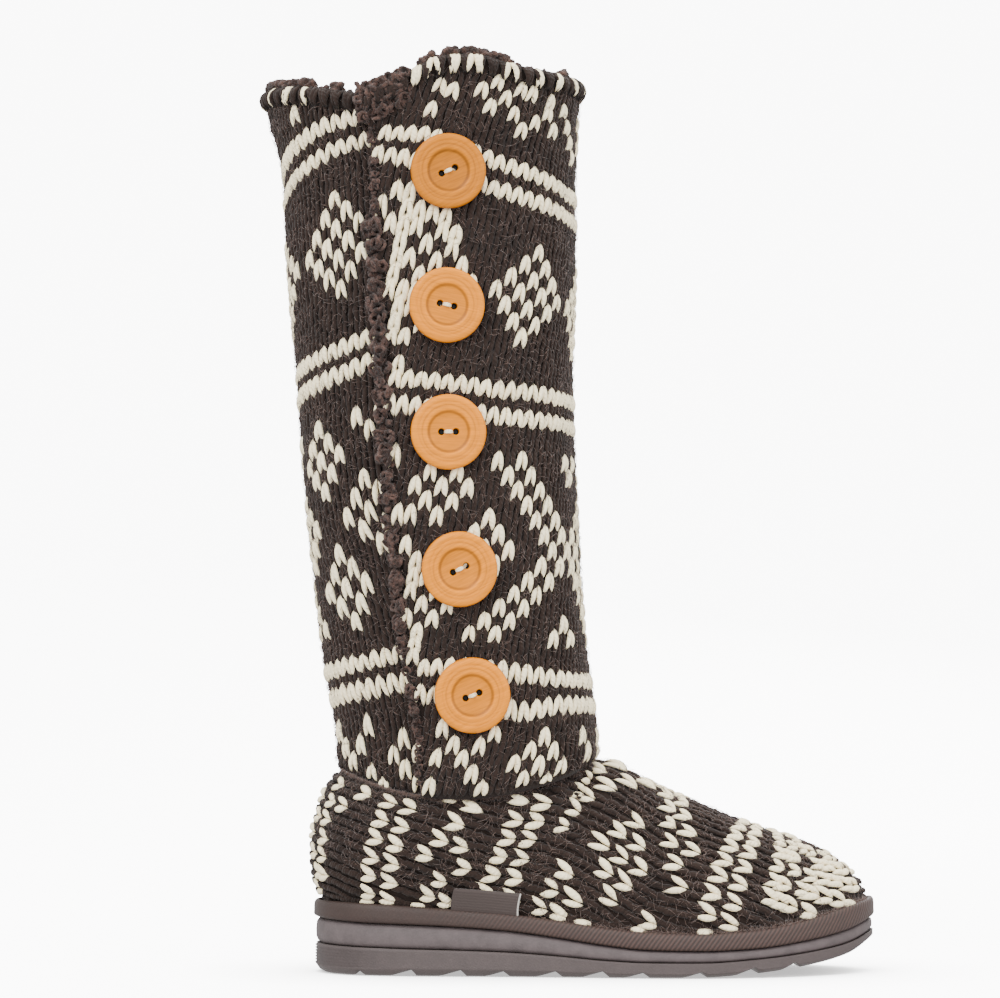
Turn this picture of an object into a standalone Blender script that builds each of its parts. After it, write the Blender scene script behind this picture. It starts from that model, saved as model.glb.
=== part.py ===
"""Knitted slipper boot for the right foot: a knit foot part on a stacked rubber sole, and a
knit shaft that wraps over itself on the outer side under five wooden buttons.

Frame, in metres: the origin is on the ground under the heel, +X runs to the toe, +Y to the
inner side of the foot and +Z up the shaft. "Outer" is the little-toe side (-Y), where the
shaft closes. Tables hold shares of the named sizes, one row per section.
"""
import math
from collections import namedtuple

import bpy
import numpy as np
from mathutils import Matrix, Vector

for thing in list(bpy.data.objects):
    bpy.data.objects.remove(thing)

# Driving sizes.
SOLE_LENGTH = 0.2560
HEEL_BACK = -0.0300        # where the sole starts along X
BALL_WIDTH = 0.0980
HEEL_STACK = 0.0325        # ground to the top of the rand at the heel
BOOT_HEIGHT = 0.4100       # ground to the peak of the collar
SHAFT_WIDTH = 0.1060       # side to side at mid height
GAP = 0.0003               # left between pieces that touch

RAND_WALL = 0.0032
RAND_TO_KNIT = 0.0037      # rand's outer face to the knit inside it
KNIT_WALL = 0.0050         # knit and fleece lining together
INSOLE_THICKNESS = 0.0040
TREAD_DEPTH = 0.0026

SEAM_BACK = 0.0915         # height of the ankle seam
SEAM_FRONT = 0.0943
SEAM_DIP_OUTER = 0.0150
SEAM_DIP_INNER = 0.0115
SEAM_INSET = 0.0012        # foot part's top edge inside the shaft's
FRONT_CLEARANCE = 0.0008   # shaft's foot over the instep, on top of the gap

FLAP_EDGE = 109.0          # degrees round from the front, positive on the outer side
FLAP_LIFT = 0.0055         # flap's rise over the layer it covers
FLAP_LIFT_ENDS = (6.0, 50.0)
UNDERLAP_END = -305.0      # same turn carried on past the back, so 55 on the outer side

BUTTON_DIAMETER = 0.0336
BUTTON_THICKNESS = 0.0050
DISH_DIAMETER = 0.0190
DISH_DEPTH = 0.0013
HOLE_DIAMETER = 0.0026
HOLE_SPACING = 0.0064

LABEL_HEIGHT = 0.0092
LABEL_THICKNESS = 0.0012

ANKLE_STATIONS = 14        # along each side of the foot, heel to the ankle's front
TOE_STATIONS = 19          # and on to the toe's tip
SOLE_STATIONS = 26
SHEET_STATIONS = 50        # along the wrapped sheet

# Sole outline: along is a share of SOLE_LENGTH, across of BALL_WIDTH, + on the inner side.
Edge = namedtuple("Edge", "along across")
OUTER_EDGE = (
    Edge(0.0000, 0.000), Edge(0.0190, -0.185), Edge(0.0720, -0.320), Edge(0.1450, -0.378),
    Edge(0.2500, -0.405), Edge(0.3500, -0.428), Edge(0.4400, -0.458), Edge(0.5300, -0.495),
    Edge(0.6200, -0.520), Edge(0.7000, -0.516), Edge(0.7800, -0.478), Edge(0.8500, -0.412),
    Edge(0.9100, -0.318), Edge(0.9580, -0.200), Edge(0.9880, -0.070),
)
INNER_EDGE = (
    Edge(1.0000, 0.060), Edge(0.9920, 0.160), Edge(0.9620, 0.275), Edge(0.9150, 0.368),
    Edge(0.8550, 0.435), Edge(0.7900, 0.470), Edge(0.7200, 0.480), Edge(0.6500, 0.460),
    Edge(0.5700, 0.405), Edge(0.4900, 0.348), Edge(0.4100, 0.325), Edge(0.3300, 0.338),
    Edge(0.2400, 0.365), Edge(0.1450, 0.378), Edge(0.0720, 0.320), Edge(0.0190, 0.185),
)

# Side of the sole: heights are shares of HEEL_STACK.
SoleSide = namedtuple("SoleSide", "along rand_top rand_foot band_foot tread")
SOLE_SIDE = (
    SoleSide(0.000, 1.000, 0.765, 0.410, 0.030), SoleSide(0.030, 0.998, 0.745, 0.400, 0.000),
    SoleSide(0.091, 0.985, 0.717, 0.386, 0.000), SoleSide(0.157, 0.957, 0.700, 0.372, 0.000),
    SoleSide(0.246, 0.909, 0.672, 0.357, 0.000), SoleSide(0.349, 0.845, 0.615, 0.330, 0.000),
    SoleSide(0.436, 0.757, 0.525, 0.282, 0.000), SoleSide(0.510, 0.675, 0.437, 0.232, 0.000),
    SoleSide(0.586, 0.614, 0.375, 0.205, 0.000), SoleSide(0.680, 0.592, 0.360, 0.203, 0.004),
    SoleSide(0.775, 0.635, 0.390, 0.246, 0.052), SoleSide(0.853, 0.736, 0.468, 0.309, 0.125),
    SoleSide(0.936, 0.905, 0.595, 0.414, 0.254), SoleSide(1.000, 1.040, 0.770, 0.590, 0.490),
)

# Sawtooth notches of the tread: toe-side face of each, and the length of its slope.
Notch = namedtuple("Notch", "along slope")
NOTCHES = (
    Notch(0.091, 0.012), Notch(0.178, 0.036), Notch(0.264, 0.036), Notch(0.344, 0.036),
    Notch(0.432, 0.036), Notch(0.510, 0.036), Notch(0.586, 0.036), Notch(0.685, 0.036),
    Notch(0.773, 0.036), Notch(0.849, 0.030),
)

# Shaft: height is a share of BOOT_HEIGHT, back and front of SOLE_LENGTH, width of SHAFT_WIDTH.
ShaftRow = namedtuple("ShaftRow", "height back front width")
SHAFT = (
    ShaftRow(0.180, 0.0400, 0.5040, 0.850), ShaftRow(0.223, 0.0400, 0.5043, 0.855),
    ShaftRow(0.243, 0.0425, 0.5053, 0.860), ShaftRow(0.277, 0.0375, 0.5008, 0.870),
    ShaftRow(0.344, 0.0178, 0.4874, 0.900), ShaftRow(0.411, 0.0053, 0.4766, 0.930),
    ShaftRow(0.478, -0.0073, 0.4712, 0.950), ShaftRow(0.545, -0.0180, 0.4659, 0.960),
    ShaftRow(0.613, -0.0261, 0.4620, 0.970), ShaftRow(0.680, -0.0342, 0.4605, 0.980),
    ShaftRow(0.747, -0.0449, 0.4641, 1.000), ShaftRow(0.814, -0.0521, 0.4659, 1.010),
    ShaftRow(0.881, -0.0575, 0.4659, 1.030), ShaftRow(0.915, -0.0673, 0.4677, 1.050),
    ShaftRow(0.948, -0.0825, 0.4694, 1.080), ShaftRow(0.982, -0.0915, 0.4748, 1.110),
    ShaftRow(1.010, -0.0955, 0.4766, 1.130),
)

# Collar: height of the rim by the turn round the shaft, carried on under the flap.
RimRow = namedtuple("RimRow", "turn height")
RIM = (
    RimRow(-305.0, 0.955), RimRow(-251.0, 0.957), RimRow(-245.0, 0.962),
    RimRow(-230.0, 0.971), RimRow(-210.0, 0.979), RimRow(-180.0, 0.986),
    RimRow(-135.0, 0.994), RimRow(-90.0, 0.998), RimRow(-45.0, 0.996), RimRow(0.0, 0.997),
    RimRow(20.0, 0.993), RimRow(36.0, 0.990), RimRow(48.0, 0.990), RimRow(60.0, 0.994),
    RimRow(72.0, 1.000), RimRow(84.0, 0.996), RimRow(90.0, 0.987), RimRow(96.0, 0.975),
    RimRow(102.0, 0.967), RimRow(109.0, 0.960),
)

# Instep ridge, from the ankle to where the toe's walls gather.
RidgeRow = namedtuple("RidgeRow", "along height across")
RIDGE = (
    RidgeRow(0.500, 0.2310, 0.000), RidgeRow(0.530, 0.2305, 0.000),
    RidgeRow(0.582, 0.2131, 0.008), RidgeRow(0.636, 0.1963, 0.016),
    RidgeRow(0.690, 0.1832, 0.023), RidgeRow(0.744, 0.1695, 0.030),
    RidgeRow(0.797, 0.1568, 0.036), RidgeRow(0.851, 0.1466, 0.044),
    RidgeRow(0.868, 0.1430, 0.046),
)

# Foot part, one row per section round each side. station runs from the heel's back to the
# toe's tip. edge is the share of the sole's edge, top runs 0 to 1 round the ankle seam and
# 1 to 2 along the ridge. swell and rise push the wall out and up at its foot, heading, pitch
# and reach lay it down from its top; lengths are shares of BALL_WIDTH.
FootRow = namedtuple("FootRow", "station edge top swell rise heading pitch reach")
FOOT_OUTER = (
    FootRow(0.000, 0.000, 0.00, 0.112, 0.100, 180.0, 38.0, 0.195),
    FootRow(0.105, 0.105, 0.17, 0.100, 0.110, 152.0, 42.0, 0.182),
    FootRow(0.200, 0.200, 0.36, 0.078, 0.125, 118.0, 50.0, 0.160),
    FootRow(0.285, 0.285, 0.59, 0.060, 0.150, 97.0, 52.0, 0.155),
    FootRow(0.370, 0.370, 0.84, 0.056, 0.200, 92.0, 34.0, 0.200),
    FootRow(0.430, 0.430, 1.00, 0.056, 0.270, 95.0, 7.0, 0.285),
    FootRow(0.525, 0.525, 1.36, 0.056, 0.265, 100.0, 2.0, 0.305),
    FootRow(0.620, 0.620, 1.66, 0.052, 0.225, 100.0, 1.0, 0.305),
    FootRow(0.735, 0.735, 1.86, 0.044, 0.165, 75.0, 1.0, 0.250),
    FootRow(0.860, 0.860, 1.95, 0.024, 0.110, 36.0, 1.0, 0.180),
    FootRow(1.000, 1.000, 2.00, 0.008, 0.085, 0.0, 1.0, 0.150),
)
FOOT_INNER = (
    FootRow(0.000, 0.000, 0.00, 0.112, 0.100, 180.0, 38.0, 0.195),
    FootRow(0.105, 0.105, 0.17, 0.100, 0.110, 152.0, 42.0, 0.182),
    FootRow(0.200, 0.205, 0.36, 0.078, 0.125, 118.0, 50.0, 0.150),
    FootRow(0.285, 0.300, 0.59, 0.080, 0.160, 97.0, 50.0, 0.155),
    FootRow(0.370, 0.390, 0.84, 0.074, 0.220, 92.0, 32.0, 0.200),
    FootRow(0.430, 0.450, 1.00, 0.068, 0.300, 95.0, 7.0, 0.265),
    FootRow(0.525, 0.550, 1.36, 0.056, 0.290, 98.0, 2.0, 0.270),
    FootRow(0.620, 0.645, 1.66, 0.046, 0.240, 92.0, 1.0, 0.265),
    FootRow(0.735, 0.760, 1.86, 0.038, 0.175, 66.0, 1.0, 0.220),
    FootRow(0.860, 0.880, 1.95, 0.020, 0.115, 32.0, 1.0, 0.165),
    FootRow(1.000, 1.000, 2.00, 0.008, 0.085, 0.0, 1.0, 0.150),
)

# Buttons down the flap: along and height of the centre, and the tilt of the two holes.
ButtonRow = namedtuple("ButtonRow", "along height tilt")
BUTTONS = (
    ButtonRow(0.2406, 0.8705, 24.0), ButtonRow(0.2387, 0.7248, -12.0),
    ButtonRow(0.2418, 0.5872, 1.0), ButtonRow(0.2609, 0.4392, 26.0),
    ButtonRow(0.2832, 0.3037, 22.0),
)

LABEL_ALONG = (0.246, 0.365)


def column(rows, key, name, at):
    """Smooth curve through one table column, with no overshoot between rows."""
    x = np.array([getattr(row, key) for row in rows])
    y = np.array([getattr(row, name) for row in rows])
    step = np.diff(x)
    slope = np.diff(y) / step
    same = slope[:-1] * slope[1:] > 0
    safe = np.where(same, slope[:-1] + slope[1:], 1.0)
    inside = np.where(same, 2.0 * slope[:-1] * slope[1:] / safe, 0.0)
    tangent = np.concatenate(([slope[0]], inside, [slope[-1]]))
    at = np.clip(np.asarray(at, float), x[0], x[-1])
    k = np.clip(np.searchsorted(x, at, side="right") - 1, 0, len(x) - 2)
    t = (at - x[k]) / step[k]
    t2, t3 = t * t, t * t * t
    return ((2 * t3 - 3 * t2 + 1) * y[k] + (t3 - 2 * t2 + t) * step[k] * tangent[k]
            + (3 * t2 - 2 * t3) * y[k + 1] + (t3 - t2) * step[k] * tangent[k + 1])


def along_x(share):
    return HEEL_BACK + share * SOLE_LENGTH


def sole_height(name, x):
    """Height of one line of the sole's side at the given x."""
    return HEEL_STACK * column(SOLE_SIDE, "along", name, (x - HEEL_BACK) / SOLE_LENGTH)


def sole_outline():
    """Dense closed outline of the rand, counter-clockwise from the heel's back."""
    marks = np.array([(along_x(e.along), e.across * BALL_WIDTH)
                      for e in OUTER_EDGE + INNER_EDGE])
    before, after, far = np.roll(marks, 1, 0), np.roll(marks, -1, 0), np.roll(marks, -2, 0)
    t = (np.arange(24) / 24.0)[None, :, None]
    a, b, c, d = before[:, None], marks[:, None], after[:, None], far[:, None]
    curve = 0.5 * (2 * b + (c - a) * t + (2 * a - 5 * b + 4 * c - d) * t ** 2
                   + (3 * b - a - 3 * c + d) * t ** 3)
    return curve.reshape(-1, 2)


OUTLINE = sole_outline()
TIP = int(np.argmax(OUTLINE[:, 0]))


def edge_points(side, shares):
    """Points and outward directions on one side of the outline, heel (0) to toe (1)."""
    closed = np.vstack([OUTLINE, OUTLINE[:1]])
    half = closed[:TIP + 1] if side == "outer" else closed[TIP:][::-1]
    length = np.concatenate(([0.0], np.cumsum(np.linalg.norm(np.diff(half, axis=0), axis=1))))
    at = np.asarray(shares, float) * length[-1]
    point = np.stack([np.interp(at, length, half[:, k]) for k in (0, 1)], axis=1)
    reach = length[-1] * 0.006
    ahead = np.stack([np.interp(np.minimum(at + reach, length[-1]), length, half[:, k])
                      for k in (0, 1)], axis=1)
    behind = np.stack([np.interp(np.maximum(at - reach, 0.0), length, half[:, k])
                       for k in (0, 1)], axis=1)
    way = (ahead - behind) / np.linalg.norm(ahead - behind, axis=1)[:, None]
    turn = 1.0 if side == "outer" else -1.0
    out = np.stack([way[:, 1], -way[:, 0]], axis=1) * turn
    out[np.asarray(shares) <= 0.0] = (-1.0, 0.0)
    out[np.asarray(shares) >= 1.0] = (1.0, 0.0)
    return point, out


def spread(count):
    """Shares from 0 to 1, closer together at both ends."""
    t = np.linspace(0.0, 1.0, count + 1)
    return t - 0.075 * np.sin(2 * math.pi * t)


def sole_loop(inset):
    """One closed ring of the sole: outer side heel to toe, then inner side back."""
    shares = spread(SOLE_STATIONS)
    outer, outer_way = edge_points("outer", shares)
    inner, inner_way = edge_points("inner", shares)
    outer, inner = outer - outer_way * inset, inner - inner_way * inset
    return np.vstack([outer, inner[-2:0:-1]])


def make_object(name, verts, faces, material, smooth=True):
    mesh = bpy.data.meshes.new(name)
    mesh.from_pydata([tuple(v) for v in verts], [], faces)
    mesh.polygons.foreach_set("use_smooth", [smooth] * len(mesh.polygons))
    mesh.update()
    thing = bpy.data.objects.new(name, mesh)
    if material:
        mesh.materials.append(material)
    parts.objects.link(thing)
    return thing


def make_material(name, colour, roughness):
    material = bpy.data.materials.new(name)
    material.use_nodes = True
    shader = material.node_tree.nodes["Principled BSDF"]
    shader.inputs["Base Color"].default_value = (*colour, 1.0)
    shader.inputs["Roughness"].default_value = roughness
    return material


def slab(name, rings, material):
    """Solid stacked from closed rings of the sole, bottom to top, capped across."""
    count = len(rings[0])
    verts = np.vstack(rings)
    faces = []
    for level in range(len(rings) - 1):
        low, high = level * count, (level + 1) * count
        for i in range(count):
            j = (i + 1) % count
            faces.append((low + i, low + j, high + j, high + i))
    top = (len(rings) - 1) * count
    for base, flip in ((0, True), (top, False)):
        for i in range(SOLE_STATIONS):
            a, b = i, i + 1
            c, d = (count - i - 1) % count, (count - i) % count
            corner = [a, b, c, d]
            face = [base + k for n, k in enumerate(corner) if k not in corner[:n]]
            faces.append(tuple(face[::-1] if flip else face))
    return make_object(name, verts, faces, material)


def ring_at(inset, height):
    """Ring of the sole at an inset, with its height given as a function of x."""
    loop = sole_loop(inset)
    return np.column_stack([loop, height(loop[:, 0])])


def between(low, high, share, low_gap=GAP / 2, high_gap=GAP / 2):
    """Height function at a share of the way between two lines of the sole's side."""
    def height(x):
        base = sole_height(low, x) + (low_gap if low != "tread" else 0.0)
        return base + share * (sole_height(high, x) - high_gap - base)
    return height


def build_sole():
    out = lambda share: between("tread", "band_foot", share)
    outsole = slab("outsole", [
        ring_at(0.0046, out(0.0)), ring_at(0.0026, out(0.06)), ring_at(0.0012, out(0.22)),
        ring_at(0.0006, out(0.45)), ring_at(0.0006, out(0.92)), ring_at(0.0012, out(1.0)),
    ], rubber_low)
    mid = lambda share: between("band_foot", "rand_foot", share)
    slab("midsole", [
        ring_at(0.0026, mid(0.0)), ring_at(0.0019, mid(0.08)), ring_at(0.0017, mid(0.5)),
        ring_at(0.0021, mid(0.92)), ring_at(0.0030, mid(1.0)),
    ], rubber_mid)
    board = RAND_TO_KNIT + KNIT_WALL + 2 * GAP
    low = lambda x: sole_height("rand_foot", x) + GAP / 2
    slab("insole", [
        ring_at(board + 0.0006, low), ring_at(board, lambda x: low(x) + 0.0006),
        ring_at(board, lambda x: low(x) + INSOLE_THICKNESS - 0.0008),
        ring_at(board + 0.0010, lambda x: low(x) + INSOLE_THICKNESS),
    ], fleece)
    return outsole


def build_rand():
    """Rubber strip round the edge of the knit: one section swept round the outline."""
    rise = lambda share: between("rand_foot", "rand_top", share, high_gap=0.0)
    section = (
        (0.0006, 0.00), (0.0000, 0.12), (0.0000, 0.50), (0.0003, 0.82), (0.0012, 0.97),
        (0.0024, 0.97), (RAND_WALL, 0.86), (RAND_WALL, 0.00),
    )
    rings = [ring_at(inset, rise(share)) for inset, share in section]
    count, levels = len(rings[0]), len(rings)
    faces = []
    for level in range(levels):
        low, high = level * count, ((level + 1) % levels) * count
        for i in range(count):
            j = (i + 1) % count
            faces.append((low + i, low + j, high + j, high + i))
    return make_object("rand", np.vstack(rings), faces, rubber_rand)


def cut_tread(outsole):
    """Cut each notch right across: a slope rising toward the toe, ended by an upright face."""
    half = 0.75 * BALL_WIDTH
    for number, notch in enumerate(NOTCHES, 1):
        front = along_x(notch.along)
        back = along_x(notch.along - notch.slope)
        low_back, low_front = (float(sole_height("tread", x)) for x in (back, front))
        corners = ((back, -0.01), (front, -0.01), (front, low_front + TREAD_DEPTH),
                   (back, low_back - 0.0002))
        verts = [(x, y, z) for y in (-half, half) for x, z in corners]
        faces = [(0, 1, 2, 3), (7, 6, 5, 4), (0, 4, 5, 1), (1, 5, 6, 2), (2, 6, 7, 3),
                 (3, 7, 4, 0)]
        add_cutter(f"tread_cutter_{number:02d}", verts, faces, outsole)


def add_cutter(name, verts, faces, target, matrix=None):
    mesh = bpy.data.meshes.new(name)
    mesh.from_pydata(verts, [], faces)
    cutter = bpy.data.objects.new(name, mesh)
    cutters.objects.link(cutter)
    cutter.display_type = "WIRE"
    cutter.hide_render = True
    if matrix is not None:
        cutter.matrix_world = matrix
    cut = target.modifiers.new(name, "BOOLEAN")
    cut.operation = "DIFFERENCE"
    cut.solver = "EXACT"
    cut.object = cutter


def seam_height(turn):
    """Height of the ankle seam round the leg; it dips on both sides."""
    angle = np.radians(turn)
    level = SEAM_BACK + (SEAM_FRONT - SEAM_BACK) * (1 + np.cos(angle)) / 2
    dip = np.where(np.sin(angle) > 0, SEAM_DIP_OUTER, SEAM_DIP_INNER)
    return level - dip * np.sin(angle) ** 2


def shaft_point(turn, height, offset):
    """Point on the leg's oval at a turn and height, pushed out along the oval's normal."""
    angle = np.radians(turn)
    share = height / BOOT_HEIGHT
    back = along_x(column(SHAFT, "height", "back", share))
    front = along_x(column(SHAFT, "height", "front", share))
    deep = (front - back) / 2
    wide = SHAFT_WIDTH / 2 * column(SHAFT, "height", "width", share)
    way_x, way_y = np.cos(angle) * wide, -np.sin(angle) * deep
    size = np.hypot(way_x, way_y)
    x = (front + back) / 2 + deep * np.cos(angle) + offset * way_x / size
    y = -wide * np.sin(angle) + offset * way_y / size
    return np.stack([x, y, np.broadcast_to(height, x.shape)], axis=-1)


def flap_lift(turn):
    """How far the sheet stands off the leg: full on the flap, none round the rest."""
    low, high = FLAP_LIFT_ENDS
    share = np.clip((np.asarray(turn, float) - low) / (high - low), 0.0, 1.0)
    return FLAP_LIFT * share * share * (3 - 2 * share)


def build_shaft():
    """One sheet wound once and a bit round the leg; its flap lies over its own start."""
    turn = np.linspace(FLAP_EDGE, UNDERLAP_END, SHEET_STATIONS)
    low = seam_height(turn) + 2 * GAP + FRONT_CLEARANCE * np.clip(np.cos(np.radians(turn)), 0, 1)
    high = BOOT_HEIGHT * column(RIM, "turn", "height", turn)
    lift = flap_lift(turn)
    round_end = ((0.15, 0.25), (0.50, 0.40), (0.85, 0.25))
    levels = [(0.0, 0.0012)] + [(s, 0.0) for s in (0.006, 0.05, 0.12, 0.20, 0.29, 0.38, 0.47,
                                                   0.56, 0.65, 0.74, 0.83, 0.90, 0.95, 0.994)] + [(1.0, 0.0014)]
    rings = []
    for share, pinch in levels:
        height = low + share * (high - low)
        outer = shaft_point(turn, height, lift - pinch)
        inner = shaft_point(turn, height, lift - KNIT_WALL + pinch)
        ends = []
        for edge, back in ((-1, -2), (0, 1)):
            way = outer[edge] - outer[back]
            way[2] = 0.0
            way /= np.linalg.norm(way)
            lean = inner[edge] - outer[edge]
            cap = [outer[edge] + lean * down + way * KNIT_WALL * push
                   for down, push in round_end]
            ends.append(cap if edge == -1 else cap[::-1])
        rings.append(np.vstack([outer, ends[0], inner[::-1], ends[1]]))
    count = len(rings[0])
    faces = []
    for level in range(len(rings) - 1):
        base, top = level * count, (level + 1) * count
        for i in range(count):
            j = (i + 1) % count
            faces.append((base + i, base + j, top + j, top + i))
    n = SHEET_STATIONS
    last = (len(rings) - 1) * count
    inner_start = n + 3
    for base, flip in ((0, True), (last, False)):
        quads = [(i, i + 1, inner_start + n - 2 - i, inner_start + n - 1 - i)
                 for i in range(n - 1)]
        quads.append((n - 1, n, n + 1, n + 2, n + 3))
        quads.append((inner_start + n - 1, inner_start + n, inner_start + n + 1,
                      inner_start + n + 2, 0))
        for quad in quads:
            face = tuple(base + k for k in quad)
            faces.append(face[::-1] if flip else face)
    return make_object("shaft", np.vstack(rings), faces, knit)


def foot_top(tops):
    """Top of each section: round the ankle seam for 0 to 1, down the ridge for 1 to 2."""
    tops = np.asarray(tops, float)
    turn = 180.0 * (1.0 - np.minimum(tops, 1.0))
    share = column(RIDGE, "along", "along",
                   RIDGE[0].along + np.clip(tops - 1.0, 0.0, 1.0)
                   * (RIDGE[-1].along - RIDGE[0].along))
    ridge = np.stack([along_x(share),
                      BALL_WIDTH * column(RIDGE, "along", "across", share),
                      BOOT_HEIGHT * column(RIDGE, "along", "height", share)], axis=1)
    step = 0.002
    slope = (column(RIDGE, "along", "height", share + step)
             - column(RIDGE, "along", "height", share - step)) * BOOT_HEIGHT
    run = (np.minimum(share + step, RIDGE[-1].along)
           - np.maximum(share - step, RIDGE[0].along)) * SOLE_LENGTH
    return turn, ridge, slope / run


def foot_sections(side, station, rows):
    """Grid of wall points: station across, rows up each section from the sole's edge."""
    table = FOOT_OUTER if side == "outer" else FOOT_INNER
    hand = -1.0 if side == "outer" else 1.0
    get = lambda name: column(table, "station", name, station)
    point, out = edge_points(side, get("edge"))
    foot = point - out * RAND_TO_KNIT
    low = sole_height("rand_foot", foot[:, 0]) + GAP / 2
    lip = sole_height("rand_top", foot[:, 0]) + 0.0004
    turn, ridge, slope = foot_top(get("top"))
    seam = shaft_point(-hand * turn, seam_height(-hand * turn), -SEAM_INSET)
    top = np.where((get("top") < 1.0)[:, None], seam, ridge)
    slope = np.where(get("top") < 1.0, slope[0] * 0.0, slope)
    heading, pitch = np.radians(get("heading")), np.radians(get("pitch"))
    reach = get("reach") * BALL_WIDTH
    flat = reach * np.cos(pitch)
    handle = np.stack([flat * np.cos(heading), hand * flat * np.sin(heading),
                       -reach * np.sin(pitch) + flat * np.cos(heading) * slope], axis=1)
    start = np.column_stack([foot, lip])
    first = start + np.column_stack([out * (get("swell") * BALL_WIDTH)[:, None],
                                     get("rise") * BALL_WIDTH])
    t = np.linspace(0.0, 1.0, rows - 1)[None, :, None]
    a, b, c, d = start[:, None], first[:, None], (top + handle)[:, None], top[:, None]
    wall = (a * (1 - t) ** 3 + 3 * b * t * (1 - t) ** 2 + 3 * c * t * t * (1 - t)
            + d * t ** 3)
    return np.concatenate([np.column_stack([foot, low])[:, None], wall], axis=1), out


def build_upper():
    """Foot part: outer skin from both sides' sections, inner skin a wall's thickness in."""
    rows = 11
    n = ANKLE_STATIONS + TOE_STATIONS
    front = next(row.station for row in FOOT_OUTER if row.top == 1.0)
    station = np.concatenate((
        front * np.linspace(0.0, 1.0, ANKLE_STATIONS + 1)[:-1] ** 1.15,
        1.0 - (1.0 - front) * np.linspace(1.0, 0.0, TOE_STATIONS + 1) ** 1.2))
    outer_side, outer_way = foot_sections("outer", station, rows)
    inner_side, inner_way = foot_sections("inner", station, rows)
    open_top = column(FOOT_OUTER, "station", "top", station) < 1.0 - 1e-6
    verts, index = [], {}

    def vert(side, i, j, point):
        if side == "inner" and (i in (0, n) or (j == rows - 1 and not open_top[i])):
            side = "outer"
        key = (side, i, j)
        if key not in index:
            index[key] = len(verts)
            verts.append(point)
        return index[key]

    faces = []
    for side, grid, flip in (("outer", outer_side, False), ("inner", inner_side, True)):
        for i in range(n):
            for j in range(rows - 1):
                face = [vert(side, i, j, grid[i, j]), vert(side, i + 1, j, grid[i + 1, j]),
                        vert(side, i + 1, j + 1, grid[i + 1, j + 1]),
                        vert(side, i, j + 1, grid[i, j + 1])]
                faces.append(tuple(face[::-1] if flip else face))
    verts = np.array(verts)
    normal = np.zeros_like(verts)
    for a, b, c, d in faces:
        cross = np.cross(verts[c] - verts[a], verts[d] - verts[b])
        for k in (a, b, c, d):
            normal[k] += cross
    normal /= np.linalg.norm(normal, axis=1)[:, None]
    for (side, i, j), k in index.items():
        way = outer_way if side == "outer" else inner_way
        if j <= 1:
            normal[k] = (*way[i], 0.0)
        elif j == rows - 1 and (open_top[i] or open_top[i - 1]):
            centre = Vector((along_x(0.27), 0.0, verts[k][2]))
            normal[k] = (Vector(verts[k]) - centre).normalized()
    inside = verts - normal * KNIT_WALL
    total = len(verts)
    every = faces + [tuple(total + k for k in face[::-1]) for face in faces]
    edge = {}
    for face in faces:
        for a, b in zip(face, face[1:] + face[:1]):
            edge[(a, b)] = True
    for a, b in edge:
        if (b, a) not in edge:
            every.append((b, a, total + a, total + b))
    return make_object("upper", np.vstack([verts, inside]), every, knit)


def build_label():
    """Bare cloth tab caught in the seam above the rand, following the knit behind it."""
    station = np.linspace(0.0, 1.0, 400)
    dense, out = foot_sections("outer", station, 40)
    foot_x = dense[:, 1, 0]
    lengths = np.linspace(along_x(LABEL_ALONG[0]), along_x(LABEL_ALONG[1]), 8)
    ups = np.array([0.0005, 0.0035, 0.0065, LABEL_HEIGHT])
    near, far = [], []
    for x in lengths:
        i = int(np.argmin(abs(foot_x - x)))
        wall = dense[i, 1:]
        level = wall[0, 2] + ups
        spot = np.column_stack([np.interp(level, wall[:, 2], wall[:, k]) for k in (0, 1)]
                               + [level])
        away = np.array([*out[i], 0.0])
        near.append(spot + away * (GAP + 0.0002))
        far.append(spot + away * (GAP + 0.0002 + LABEL_THICKNESS))
    near, far = np.array(near), np.array(far)
    count, rows = near.shape[:2]
    verts = np.vstack([far.reshape(-1, 3), near.reshape(-1, 3)])
    total = count * rows
    front = [(i * rows + j, (i + 1) * rows + j, (i + 1) * rows + j + 1, i * rows + j + 1)
             for i in range(count - 1) for j in range(rows - 1)]
    faces = front + [tuple(total + k for k in face[::-1]) for face in front]
    edge = {(a, b) for face in front for a, b in zip(face, face[1:] + face[:1])}
    faces += [(b, a, total + a, total + b) for a, b in sorted(edge) if (b, a) not in edge]
    return make_object("label", verts, faces, tab_cloth, smooth=False)


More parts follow.
